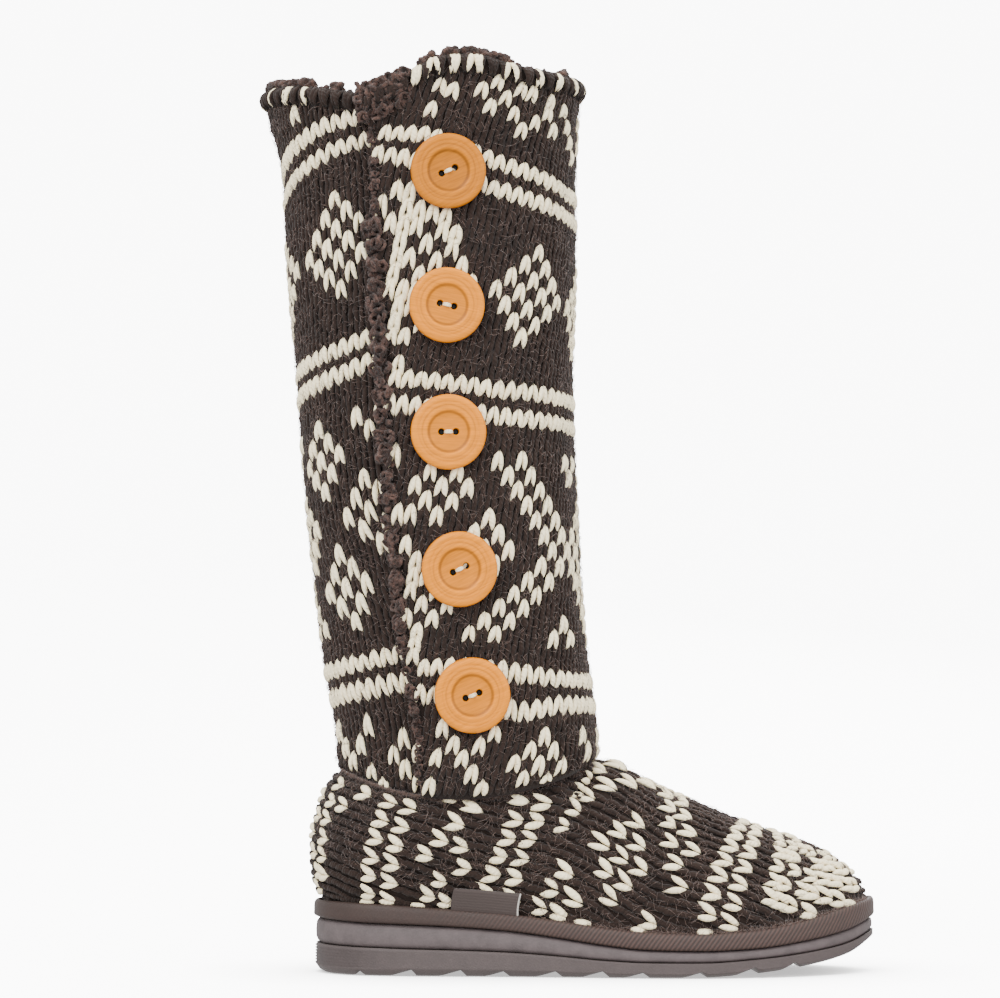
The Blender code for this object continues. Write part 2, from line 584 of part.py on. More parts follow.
def button_place(row):
    """Frame of one button: its back on the flap, its Z along the flap's outward normal."""
    x, z = along_x(row.along), row.height * BOOT_HEIGHT
    turns = np.linspace(40.0, 109.0, 800)
    spots = shaft_point(turns, np.full_like(turns, z), flap_lift(turns))
    turn = float(np.interp(-x, -spots[:, 0], turns))
    spot = lambda t, h: Vector(shaft_point(np.array([t]), np.array([h]),
                                           flap_lift(np.array([t])))[0])
    here = spot(turn, z)
    round_way = spot(turn - 0.5, z) - spot(turn + 0.5, z)
    up_way = spot(turn, z + 0.004) - spot(turn, z - 0.004)
    out = round_way.cross(up_way).normalized()
    level = Vector((0.0, 0.0, 1.0)).cross(out).normalized()
    rise = out.cross(level)
    tilt = math.radians(row.tilt)
    across = level * math.cos(tilt) + rise * math.sin(tilt)
    up = out.cross(across)
    stand = 0.0
    for step in range(16):
        angle = math.tau * step / 16
        rim = here + (across * math.cos(angle) + up * math.sin(angle)) * (BUTTON_DIAMETER / 2
                                                                          - 0.001)
        level = np.full_like(turns, rim.z)
        spots = shaft_point(turns, level, flap_lift(turns))
        under = Vector(spots[int(np.argmin(abs(spots[:, 0] - rim.x)))])
        stand = max(stand, (under - rim).dot(out))
    base = here + out * (GAP + stand)
    return Matrix(((across.x, up.x, out.x, base.x), (across.y, up.y, out.y, base.y),
                   (across.z, up.z, out.z, base.z), (0.0, 0.0, 0.0, 1.0)))


def build_button(number, row):
    """Turned wooden disc with a raised rim, a dished middle and two thread holes."""
    radius, dish, top = BUTTON_DIAMETER / 2, DISH_DIAMETER / 2, BUTTON_THICKNESS
    profile = (
        (0.0, top - DISH_DEPTH), (dish - 0.0006, top - DISH_DEPTH), (dish + 0.0004, top - 0.0002),
        (dish + 0.0012, top), (radius - 0.0016, top), (radius - 0.0004, top - 0.0008),
        (radius, top * 0.55), (radius - 0.0012, 0.0004), (radius - 0.0030, 0.0), (0.0, 0.0),
    )
    name = f"button_{number}"
    mesh = bpy.data.meshes.new(name)
    mesh.from_pydata([(r, 0.0, z) for r, z in profile],
                     [(k, k + 1) for k in range(len(profile) - 1)], [])
    mesh.materials.append(wood)
    button = bpy.data.objects.new(name, mesh)
    parts.objects.link(button)
    place = button_place(row)
    button.matrix_world = place
    turn = button.modifiers.new("turned", "SCREW")
    turn.axis = "Z"
    turn.angle = 2 * math.pi
    turn.steps = turn.render_steps = 24
    turn.use_merge_vertices = True
    turn.merge_threshold = 0.0001
    turn.use_smooth_shade = True
    verts, faces = [], []
    for centre in (-HOLE_SPACING / 2, HOLE_SPACING / 2):
        base = len(verts)
        ring = [(centre + HOLE_DIAMETER / 2 * math.cos(a), HOLE_DIAMETER / 2 * math.sin(a))
                for a in np.arange(8) * math.pi / 4 + 0.2]
        verts += [(x, y, z) for z in (-0.001, top + 0.001) for x, y in ring]
        faces += [(base + k, base + (k + 1) % 8, base + 8 + (k + 1) % 8, base + 8 + k)
                  for k in range(8)]
        faces.append(tuple(base + k for k in range(7, -1, -1)))
        faces.append(tuple(base + 8 + k for k in range(8)))
    add_cutter(f"{name}_holes", verts, faces, button, place)
    return button


parts = bpy.data.collections.new("knitted_slipper_boot")
cutters = bpy.data.collections.new("cutters")
bpy.context.scene.collection.children.link(parts)
bpy.context.scene.collection.children.link(cutters)
cutters.hide_render = True

knit = make_material("knit_yarn", (0.052, 0.036, 0.028), 0.92)
fleece = make_material("curly_fleece", (0.090, 0.060, 0.048), 0.95)
rubber_rand = make_material("rand_rubber", (0.124, 0.070, 0.060), 0.62)
rubber_mid = make_material("midsole_rubber", (0.128, 0.104, 0.102), 0.66)
rubber_low = make_material("outsole_rubber", (0.112, 0.084, 0.080), 0.60)
tab_cloth = make_material("tab_cloth", (0.110, 0.062, 0.052), 0.80)
wood = make_material("button_wood", (0.750, 0.380, 0.120), 0.45)

cut_tread(build_sole())
build_rand()
build_upper()
build_shaft()
build_label()
for order, button_row in enumerate(BUTTONS, 1):
    build_button(order, button_row)
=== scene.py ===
"""Dressing of the knitted slipper boot: every knit stitch, the fleece, the rubber and the buttons.

Frame, in metres: the origin is on the ground under the heel, +X runs to the toe, +Y to the inner
side of the foot and +Z up the shaft. The shaft closes on the outer side (-Y). Lengths named with
an MM ending are in millimetres.
"""
import math

import bpy
import numpy as np
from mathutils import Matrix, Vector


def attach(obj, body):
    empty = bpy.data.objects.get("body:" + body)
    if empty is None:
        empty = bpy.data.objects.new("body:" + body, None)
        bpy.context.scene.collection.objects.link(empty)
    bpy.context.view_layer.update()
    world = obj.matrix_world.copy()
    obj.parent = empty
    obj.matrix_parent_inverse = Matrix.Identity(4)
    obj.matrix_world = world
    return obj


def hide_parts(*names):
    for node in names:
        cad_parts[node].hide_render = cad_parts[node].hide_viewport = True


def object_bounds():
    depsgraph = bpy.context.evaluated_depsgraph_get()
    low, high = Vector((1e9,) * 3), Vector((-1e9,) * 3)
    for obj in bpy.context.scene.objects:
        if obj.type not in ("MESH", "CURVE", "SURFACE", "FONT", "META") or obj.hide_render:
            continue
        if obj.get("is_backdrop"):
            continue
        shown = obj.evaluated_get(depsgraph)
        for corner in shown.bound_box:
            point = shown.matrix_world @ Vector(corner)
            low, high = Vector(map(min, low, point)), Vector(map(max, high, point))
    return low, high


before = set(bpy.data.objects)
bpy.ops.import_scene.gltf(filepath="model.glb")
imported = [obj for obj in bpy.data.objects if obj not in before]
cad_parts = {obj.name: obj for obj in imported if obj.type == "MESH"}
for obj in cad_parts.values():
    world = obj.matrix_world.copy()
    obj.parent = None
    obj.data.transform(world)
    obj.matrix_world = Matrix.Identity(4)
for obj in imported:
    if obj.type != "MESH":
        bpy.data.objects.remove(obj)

bl_info = {
    "name": "Knitted slipper boot",
    "version": (1, 0, 0),
    "blender": (4, 5, 0),
    "location": "3D View > Sidebar > Boot",
    "description": "Dresses the boot with its knit, fleece, rubber sole and wooden buttons",
    "category": "Object",
}

CAD_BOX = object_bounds()
MM = 0.001

# Main sizes of the shoe, as in its solids.
SOLE_LENGTH = 0.2560
HEEL_BACK = -0.0300
BALL_WIDTH = 0.0980
HEEL_STACK = 0.0325
BOOT_HEIGHT = 0.4100
SHAFT_WIDTH = 0.1060
GAP = 0.0003
RAND_WALL = 0.0032
RAND_TO_KNIT = 0.0037
KNIT_WALL = 0.0050
INSOLE_THICKNESS = 0.0040
TREAD_DEPTH = 0.0026
SEAM_BACK = 0.0915
SEAM_FRONT = 0.0943
SEAM_DIP_OUTER = 0.0150
SEAM_DIP_INNER = 0.0115
SEAM_INSET = 0.0012
FRONT_CLEARANCE = 0.0008
FLAP_EDGE = 109.0
FLAP_LIFT = 0.0055
FLAP_LIFT_ENDS = (6.0, 50.0)
UNDERLAP_END = -305.0
PANEL_JOIN = -130.0        # turn of the plain seam between the two knit panels, inner side
BUTTON_DIAMETER = 0.0336
BUTTON_THICKNESS = 0.0050
DISH_DIAMETER = 0.0190
DISH_DEPTH = 0.0013
HOLE_DIAMETER = 0.0026
HOLE_SPACING = 0.0064
LABEL_HEIGHT = 0.0092
LABEL_THICKNESS = 0.0012
RIM_STEPS = 420            # sections of the collar's bolster, and points round each
RIM_SIDES = 12
DISH_RINGS = 22            # fine rings in a button's dish

# Sole outline: share of the sole's length, and share of the ball's width, + on the inner side.
OUTER_EDGE = np.array((
    (0.0000, 0.000), (0.0190, -0.185), (0.0720, -0.320), (0.1450, -0.378), (0.2500, -0.405),
    (0.3500, -0.428), (0.4400, -0.458), (0.5300, -0.495), (0.6200, -0.520), (0.7000, -0.516),
    (0.7800, -0.478), (0.8500, -0.412), (0.9100, -0.318), (0.9580, -0.200), (0.9880, -0.070)))
INNER_EDGE = np.array((
    (1.0000, 0.060), (0.9920, 0.160), (0.9620, 0.275), (0.9150, 0.368), (0.8550, 0.435),
    (0.7900, 0.470), (0.7200, 0.480), (0.6500, 0.460), (0.5700, 0.405), (0.4900, 0.348),
    (0.4100, 0.325), (0.3300, 0.338), (0.2400, 0.365), (0.1450, 0.378), (0.0720, 0.320),
    (0.0190, 0.185)))

# Side of the sole along its length: top and foot of the rand, foot of the middle band, tread.
SOLE_SIDE = np.array((
    (0.000, 1.000, 0.765, 0.410, 0.030), (0.030, 0.998, 0.745, 0.400, 0.000),
    (0.091, 0.985, 0.717, 0.386, 0.000), (0.157, 0.957, 0.700, 0.372, 0.000),
    (0.246, 0.909, 0.672, 0.357, 0.000), (0.349, 0.845, 0.615, 0.330, 0.000),
    (0.436, 0.757, 0.525, 0.282, 0.000), (0.510, 0.675, 0.437, 0.232, 0.000),
    (0.586, 0.614, 0.375, 0.205, 0.000), (0.680, 0.592, 0.360, 0.203, 0.004),
    (0.775, 0.635, 0.390, 0.246, 0.052), (0.853, 0.736, 0.468, 0.309, 0.125),
    (0.936, 0.905, 0.595, 0.414, 0.254), (1.000, 1.040, 0.770, 0.590, 0.490)))
RAND_TOP, RAND_FOOT, BAND_FOOT, TREAD = 1, 2, 3, 4

# Tread notches: toe-side face of each along the sole, and the length of its slope.
NOTCHES = np.array((
    (0.091, 0.012), (0.178, 0.036), (0.264, 0.036), (0.344, 0.036), (0.432, 0.036),
    (0.510, 0.036), (0.586, 0.036), (0.685, 0.036), (0.773, 0.036), (0.849, 0.030)))

# Leg of the boot: share of its height, its back and front along the sole, and its width.
SHAFT = np.array((
    (0.180, 0.0400, 0.5040, 0.850), (0.223, 0.0400, 0.5043, 0.855),
    (0.243, 0.0425, 0.5053, 0.860), (0.277, 0.0375, 0.5008, 0.870),
    (0.344, 0.0178, 0.4874, 0.900), (0.411, 0.0053, 0.4766, 0.930),
    (0.478, -0.0073, 0.4712, 0.950), (0.545, -0.0180, 0.4659, 0.960),
    (0.613, -0.0261, 0.4620, 0.970), (0.680, -0.0342, 0.4605, 0.980),
    (0.747, -0.0449, 0.4641, 1.000), (0.814, -0.0521, 0.4659, 1.010),
    (0.881, -0.0575, 0.4659, 1.030), (0.915, -0.0673, 0.4677, 1.050),
    (0.948, -0.0825, 0.4694, 1.080), (0.982, -0.0915, 0.4748, 1.110),
    (1.010, -0.0955, 0.4766, 1.130)))

# Collar: turn round the leg in degrees from the front, and the rim's share of the height.
RIM = np.array((
    (-305.0, 0.955), (-251.0, 0.957), (-245.0, 0.962), (-230.0, 0.971), (-210.0, 0.979),
    (-180.0, 0.986), (-135.0, 0.994), (-90.0, 0.998), (-45.0, 0.996), (0.0, 0.997),
    (20.0, 0.993), (36.0, 0.990), (48.0, 0.990), (60.0, 0.994), (72.0, 1.000), (84.0, 0.996),
    (90.0, 0.987), (96.0, 0.975), (102.0, 0.967), (109.0, 0.960)))

# Instep ridge: along the sole, share of the boot's height, share of the ball's width.
RIDGE = np.array((
    (0.500, 0.2310, 0.000), (0.530, 0.2305, 0.000), (0.582, 0.2131, 0.008),
    (0.636, 0.1963, 0.016), (0.690, 0.1832, 0.023), (0.744, 0.1695, 0.030),
    (0.797, 0.1568, 0.036), (0.851, 0.1466, 0.044), (0.868, 0.1430, 0.046)))

# Foot part, one row per section: station, share of the edge, top, swell, rise, heading, pitch,
# reach, with the meanings that the solids give them.
FOOT_OUTER = np.array((
    (0.000, 0.000, 0.00, 0.112, 0.100, 180.0, 38.0, 0.195),
    (0.105, 0.105, 0.17, 0.100, 0.110, 152.0, 42.0, 0.182),
    (0.200, 0.200, 0.36, 0.078, 0.125, 118.0, 50.0, 0.160),
    (0.285, 0.285, 0.59, 0.060, 0.150, 97.0, 52.0, 0.155),
    (0.370, 0.370, 0.84, 0.056, 0.200, 92.0, 34.0, 0.200),
    (0.430, 0.430, 1.00, 0.056, 0.270, 95.0, 7.0, 0.285),
    (0.525, 0.525, 1.36, 0.056, 0.265, 100.0, 2.0, 0.305),
    (0.620, 0.620, 1.66, 0.052, 0.225, 100.0, 1.0, 0.305),
    (0.735, 0.735, 1.86, 0.044, 0.165, 75.0, 1.0, 0.250),
    (0.860, 0.860, 1.95, 0.024, 0.110, 36.0, 1.0, 0.180),
    (1.000, 1.000, 2.00, 0.008, 0.085, 0.0, 1.0, 0.150)))
FOOT_INNER = np.array((
    (0.000, 0.000, 0.00, 0.112, 0.100, 180.0, 38.0, 0.195),
    (0.105, 0.105, 0.17, 0.100, 0.110, 152.0, 42.0, 0.182),
    (0.200, 0.205, 0.36, 0.078, 0.125, 118.0, 50.0, 0.150),
    (0.285, 0.300, 0.59, 0.080, 0.160, 97.0, 50.0, 0.155),
    (0.370, 0.390, 0.84, 0.074, 0.220, 92.0, 32.0, 0.200),
    (0.430, 0.450, 1.00, 0.068, 0.300, 95.0, 7.0, 0.265),
    (0.525, 0.550, 1.36, 0.056, 0.290, 98.0, 2.0, 0.270),
    (0.620, 0.645, 1.66, 0.046, 0.240, 92.0, 1.0, 0.265),
    (0.735, 0.760, 1.86, 0.038, 0.175, 66.0, 1.0, 0.220),
    (0.860, 0.880, 1.95, 0.020, 0.115, 32.0, 1.0, 0.165),
    (1.000, 1.000, 2.00, 0.008, 0.085, 0.0, 1.0, 0.150)))
EDGE_SHARE, TOP_SHARE, SWELL, RISE, HEADING, PITCH, REACH = range(1, 8)

# Buttons: along the sole, share of the boot's height, tilt of the two holes in degrees.
BUTTONS = np.array((
    (0.2406, 0.8705, 24.0), (0.2387, 0.7248, -12.0), (0.2418, 0.5872, 1.0),
    (0.2609, 0.4392, 26.0), (0.2832, 0.3037, 22.0)))
LABEL_ALONG = (0.246, 0.365)

# Knit rows of the shaft: height in mm of a row's middle at eleven turns round the leg. Rows count
# down from the rim.
ROW_TURNS = np.array((-251.0, -230.0, -204.0, -180.0, -90.0, 0.0, 24.0, 48.0, 66.0, 88.0, 109.0))
ROW_GUIDES = np.array((
    (0, 432.0, 428.4, 419.7, 411.0, 404.0, 400.5, 400.3, 405.5, 410.5, 421.0, 422.5),
    (8, 384.0, 380.4, 371.7, 363.0, 356.0, 352.5, 352.3, 357.5, 362.5, 373.0, 374.5),
    (10, 373.5, 369.0, 359.5, 349.0, 344.0, 341.5, 341.5, 346.0, 350.2, 360.5, 366.0),
    (14, 352.0, 347.0, 338.5, 328.0, 322.0, 319.5, 320.0, 322.8, 325.5, 331.0, 335.0),
    (20, 311.0, 306.0, 298.0, 288.0, 282.0, 280.5, 281.0, 283.4, 285.0, 288.0, 291.0),
    (24, 286.5, 280.0, 274.5, 270.0, 262.0, 258.5, 258.0, 259.3, 260.3, 263.3, 265.5),
    (26, 276.0, 269.0, 263.2, 258.5, 250.0, 246.5, 246.5, 247.5, 248.2, 251.5, 254.0),
    (29, 252.0, 247.5, 242.5, 238.0, 233.0, 230.0, 229.5, 229.0, 228.3, 229.5, 231.0),
    (33, 224.0, 219.5, 214.0, 210.0, 206.0, 203.5, 203.0, 202.3, 202.2, 203.5, 205.0),
    (37, 193.5, 189.5, 185.0, 182.0, 179.0, 177.0, 176.0, 175.0, 175.0, 176.0, 177.0),
    (41, 162.0, 158.0, 155.0, 152.5, 151.0, 150.5, 150.0, 149.5, 151.2, 151.5, 153.0),
    (44, 143.5, 139.8, 136.3, 134.5, 132.0, 131.0, 131.0, 131.8, 134.5, 137.0, 136.5),
    (46, 131.5, 128.0, 124.8, 122.5, 121.0, 120.3, 120.3, 120.4, 116.8, 121.0, 126.0),
    (49, 106.0, 103.5, 101.0, 99.5, 99.0, 100.0, 100.0, 99.3, 100.2, 102.2, 103.5),
    (52, 86.0, 84.0, 82.0, 80.0, 79.0, 81.0, 81.0, 80.0, 81.0, 83.5, 84.5),
    (54, 72.0, 70.0, 68.0, 66.0, 65.0, 67.0, 67.0, 66.0, 67.0, 69.5, 70.5)))
FRONT_COLUMN_MM = 5.8
FRONT_LEAN_MM = 1.35       # a column's drift along the leg for each row down
FRONT_START_MM = 40.8
REAR_COLUMN_MM = 5.9
REAR_DRIFT = np.array(((0, 0.0), (8, 0.0), (14, -0.2), (20, -0.5), (29, -0.3), (33, -0.65), (35, -0.9),
                       (37, -1.7), (39, -2.1), (41, -2.7), (46, -3.3), (52, -3.7), (54, -3.9)))

# Knit courses of the foot part, counted from heel to toe: the section where each crosses the
# seventh wale, its drift for a wale down, how far above the lip, in mm up the wall, that wale
# lies, and the wales' spacing in mm.
COURSE_GUIDES = np.array((
    (-10.0, 0.036, 0.0000, 57.0, 8.3), (-5.0, 0.112, -0.0030, 53.0, 8.3),
    (-3.0, 0.140, -0.0045, 50.5, 8.3), (0.0, 0.1775, -0.0055, 47.4, 8.4),
    (2.0, 0.2020, -0.0046, 45.6, 8.6), (5.0, 0.2290, -0.0008, 43.4, 9.0),
    (7.0, 0.2489, 0.0006, 41.2, 9.2), (9.0, 0.2720, 0.0012, 38.8, 9.2),
    (12.0, 0.3088, 0.0040, 36.4, 9.4), (14.0, 0.3390, 0.0064, 36.0, 9.7),
    (17.4, 0.402, 0.0020, 33.0, 9.6), (18.9, 0.431, -0.0010, 31.6, 9.5), (21.2, 0.476, -0.0020, 27.0, 9.6),
    (23.0, 0.503, -0.0020, 23.0, 9.5), (25.0, 0.534, -0.0010, 18.5, 9.6), (27.0, 0.5620, 0.0, 14.2, 9.8),
    (29.0, 0.594, 0.0, 11.4, 9.8), (32.0, 0.6470, -0.0008, 8.9, 9.2), (34.0, 0.682, 0.0, 3.9, 9.5),
    (37.5, 0.748, 0.0, -6.0, 9.3), (41.0, 0.812, 0.0, -15.5, 9.3), (44.2, 0.910, 0.0, -28.5, 9.3),
    (48.0, 0.985, 0.0, -32.0, 9.3)))

# Cream stitches outside the repeats, as (row, column) from the flap's edge.
FRONT_EXTRAS = ((12, 18), (12, 17), (13, 16), (13, 15), (13, 14), (14, 17), (14, 13), (15, 17), (13, 19),
                (13, 17), (14, 16), (14, 18), (16, 17), (18, 17), (18, 15), (19, 16), (20, 16), (21, 16),
                (21, 15), (23, 16), (23, 15), (33, 13), (33, 12), (36, 11), (37, 11), (42, 10), (43, 10))
FRONT_TOP = ((1, 0), (1, 9), (2, 6), (2, 8), (2, 10), (2, 11), (2, 13), (3, 5), (3, 8), (3, 12), (3, 14),
             (4, 4), (4, 7), (4, 9), (4, 11), (4, 13), (4, 16), (4, 17), (5, 3), (5, 10), (6, 17))
FRONT_LOW = ((48, 7), (48, 3), (48, -1), (48, -5), (49, 6), (49, 4), (49, 0), (49, -2), (49, -6), (50, 7),
             (50, 5), (50, 1), (50, -1), (50, -3), (51, 4), (51, 0), (51, -2), (52, 7), (52, 3))
FRONT_LOW_REPEAT = ((48, 7), (48, 3), (49, 6), (49, 4), (50, 5), (50, 7), (51, 4), (51, 8), (52, 7), (52, 3))
REAR_MARKS = ((6, 7), (48, 12), (48, 8), (49, 11), (49, 9), (49, 5), (50, 10), (50, 6), (50, 4),
              (51, 8), (51, 5), (52, 4), (52, 7))
# Turns of the cream stitches that lie over the rolled rim; the inner side's are every 14 degrees.
RIM_CREAM = (90.9, 85.3, 79.2, 77.6, 72.4, 69.6, 58.4, 46.6, 35.9, 23.6, -202.0, -214.0, -223.0,
             *range(-176, 10, 14))
# Cream stitches of the foot, as (course, wale).
FOOT_MARKS = ((6, 6), (8, 6), (7, 7), (6, 8), (8, 8), (5, 9), (9, 9), (7, 10), (6, 11), (8, 11),
              (5, 12), (9, 12), (-7, 7), (-7, 8), (-7, 9), (-7, 10), (-7, 11), (-9, 11), (-7, 12),
              (-9, 13), (-8, 12), (-5, 8), (-3, 7), (-5, 6), (-9, 9), (-10, 10), (-10, 8))
TOE_MARKS = ((37, 0), (37, 1), (37, 2), (37, 3), (37, 4), (37, 5), (38, 2), (38, 4), (38, 5), (39, 1),
             (39, 2), (39, 3), (39, 5), (40, 4), (41, 0), (41, 1), (41, 3), (41, 4), (41, 5), (42, 1),
             (42, 2), (42, 3), (42, 4), (43, 2), (43, 3), (43, 4), (43, 5), (44, 1), (44, 2), (44, 3),
             (44, 4), (45, 2), (45, 3), (46, 1), (47, 2))


def linear(code):
    """sRGB hex to linear colour: the sRGB curve undone for each channel."""
    value = np.array([int(code[k:k + 2], 16) / 255.0 for k in (1, 3, 5)])
    return tuple(np.where(value <= 0.04045, value / 12.92, ((value + 0.055) / 1.055) ** 2.4))


def length_field(name, description, default):
    """Length that the panel shows, in metres."""
    return bpy.props.FloatProperty(name=name, description=description, default=default, unit="LENGTH")


def colour_field(name, description, code):
    """Colour that the panel shows, from its sRGB hex code."""
    return bpy.props.FloatVectorProperty(name=name, description=description, subtype="COLOR", size=3,
                                         default=linear(code))


class BootSizes(bpy.types.PropertyGroup):
    """Sizes of the knit and the trimmings."""
    leg_half_width: length_field("Yarn half width", "Half the width of one leg of a cream stitch", 0.00140)
    dark_share: bpy.props.FloatProperty(
        name="Dark yarn share", description="Dark yarn's width as a share of the cream yarn's",
        default=0.96, subtype="FACTOR")
    backing_depth: length_field("Backing depth", "How far the backing lies under the stitches", 0.0011)
    rim_radius: length_field("Rim radius", "Half the height of the rolled collar", 0.0047)
    curl_size: length_field("Fleece curl", "Size of one curl of the fleece", 0.0029)
    rib_pitch: length_field("Rand rib pitch", "Spacing of the slanted ribs on the rand", 0.0021)


class BootColours(bpy.types.PropertyGroup):
    """Colours of the shoe, in linear light."""
    dark_yarn: colour_field("Dark yarn", "Brown wool", "#1D1410")
    cream_yarn: colour_field("Cream yarn", "Undyed wool", "#EEE0BC")
    fleece: colour_field("Fleece", "Curly lining", "#4F3B34")
    rand: colour_field("Rand", "Reddish brown rubber", "#33241F")
    midsole: colour_field("Middle band", "Grey brown rubber", "#4F4646")
    outsole: colour_field("Tread", "Brown tread rubber", "#433A39")
    wood: colour_field("Wood", "Light turned wood", "#DC8206")
    cloth: colour_field("Tab cloth", "Woven tape of the label", "#2E211D")
    floor: colour_field("Floor", "Pale studio floor", "#F6F5F3")


def column(table, index, at):
    """Smooth curve through one table column: cubic pieces whose slopes never overshoot."""
    x, y = table[:, 0], table[:, index]
    step = np.diff(x)
    slope = np.diff(y) / step
    same = slope[:-1] * slope[1:] > 0
    safe = np.where(same, slope[:-1] + slope[1:], 1.0)
    inside = np.where(same, 2.0 * slope[:-1] * slope[1:] / safe, 0.0)
    tangent = np.concatenate(([slope[0]], inside, [slope[-1]]))
    at = np.clip(np.asarray(at, float), x[0], x[-1])
    k = np.clip(np.searchsorted(x, at, side="right") - 1, 0, len(x) - 2)
    t = (at - x[k]) / step[k]
    t2, t3 = t * t, t * t * t
    return ((2 * t3 - 3 * t2 + 1) * y[k] + (t3 - 2 * t2 + t) * step[k] * tangent[k]
            + (3 * t2 - 2 * t3) * y[k + 1] + (t3 - t2) * step[k] * tangent[k + 1])


def along_x(share):
    return HEEL_BACK + share * SOLE_LENGTH


def sole_height(line, x):
    """Height of one line of the sole's side at the given x."""
    return HEEL_STACK * column(SOLE_SIDE, line, (x - HEEL_BACK) / SOLE_LENGTH)


def sole_outline():
    """Closed outline of the rand: a curve through the marks whose slope at each mark is that
    of the line between its neighbours."""
    marks = np.vstack([OUTER_EDGE, INNER_EDGE]) * (SOLE_LENGTH, BALL_WIDTH) + (HEEL_BACK, 0.0)
    before, after, far = np.roll(marks, 1, 0), np.roll(marks, -1, 0), np.roll(marks, -2, 0)
    t = (np.arange(24) / 24.0)[None, :, None]
    a, b, c, d = before[:, None], marks[:, None], after[:, None], far[:, None]
    curve = 0.5 * (2 * b + (c - a) * t + (2 * a - 5 * b + 4 * c - d) * t ** 2
                   + (3 * b - a - 3 * c + d) * t ** 3)
    return curve.reshape(-1, 2)


OUTLINE = sole_outline()
TIP = int(np.argmax(OUTLINE[:, 0]))


def edge_points(side, shares):
    """Points and outward directions on one side of the outline, heel (0) to toe (1)."""
    closed = np.vstack([OUTLINE, OUTLINE[:1]])
    half = closed[:TIP + 1] if side == "outer" else closed[TIP:][::-1]
    length = np.concatenate(([0.0], np.cumsum(np.linalg.norm(np.diff(half, axis=0), axis=1))))
    spot = lambda at: np.stack([np.interp(at, length, half[:, k]) for k in (0, 1)], axis=1)
    at = np.asarray(shares, float) * length[-1]
    reach = length[-1] * 0.006
    chord = spot(np.minimum(at + reach, length[-1])) - spot(np.maximum(at - reach, 0.0))
    way = chord / np.linalg.norm(chord, axis=1)[:, None]
    turn = 1.0 if side == "outer" else -1.0
    out = np.stack([way[:, 1], -way[:, 0]], axis=1) * turn
    out[np.asarray(shares) <= 0.0] = (-1.0, 0.0)
    out[np.asarray(shares) >= 1.0] = (1.0, 0.0)
    return spot(at), out


def seam_height(turn):
    """Height of the ankle seam round the leg: a cosine from back to front less a dip at the
    sides that goes with the sine squared."""
    angle = np.radians(turn)
    level = SEAM_BACK + (SEAM_FRONT - SEAM_BACK) * (1 + np.cos(angle)) / 2
    dip = np.where(np.sin(angle) > 0, SEAM_DIP_OUTER, SEAM_DIP_INNER)
    return level - dip * np.sin(angle) ** 2


def shaft_point(turn, height, offset):
    """Point on the leg's oval at a turn and height, pushed out along the oval's normal."""
    turn, height = np.broadcast_arrays(np.asarray(turn, float), np.asarray(height, float))
    angle = np.radians(turn)
    share = height / BOOT_HEIGHT
    back = along_x(column(SHAFT, 1, share))
    front = along_x(column(SHAFT, 2, share))
    deep = (front - back) / 2
    wide = SHAFT_WIDTH / 2 * column(SHAFT, 3, share)
    way_x, way_y = np.cos(angle) * wide, -np.sin(angle) * deep
    size = np.hypot(way_x, way_y)
    x = (front + back) / 2 + deep * np.cos(angle) + offset * way_x / size
    y = -wide * np.sin(angle) + offset * way_y / size
    return np.stack([x, y, height], axis=-1)


def flap_lift(turn):
    """How far the sheet stands off the leg: a smooth step up to the flap's full lift."""
    low, high = FLAP_LIFT_ENDS
    share = np.clip((np.asarray(turn, float) - low) / (high - low), 0.0, 1.0)
    return FLAP_LIFT * share * share * (3 - 2 * share)


def unit(vectors):
    return vectors / np.maximum(np.linalg.norm(vectors, axis=-1, keepdims=True), 1e-12)


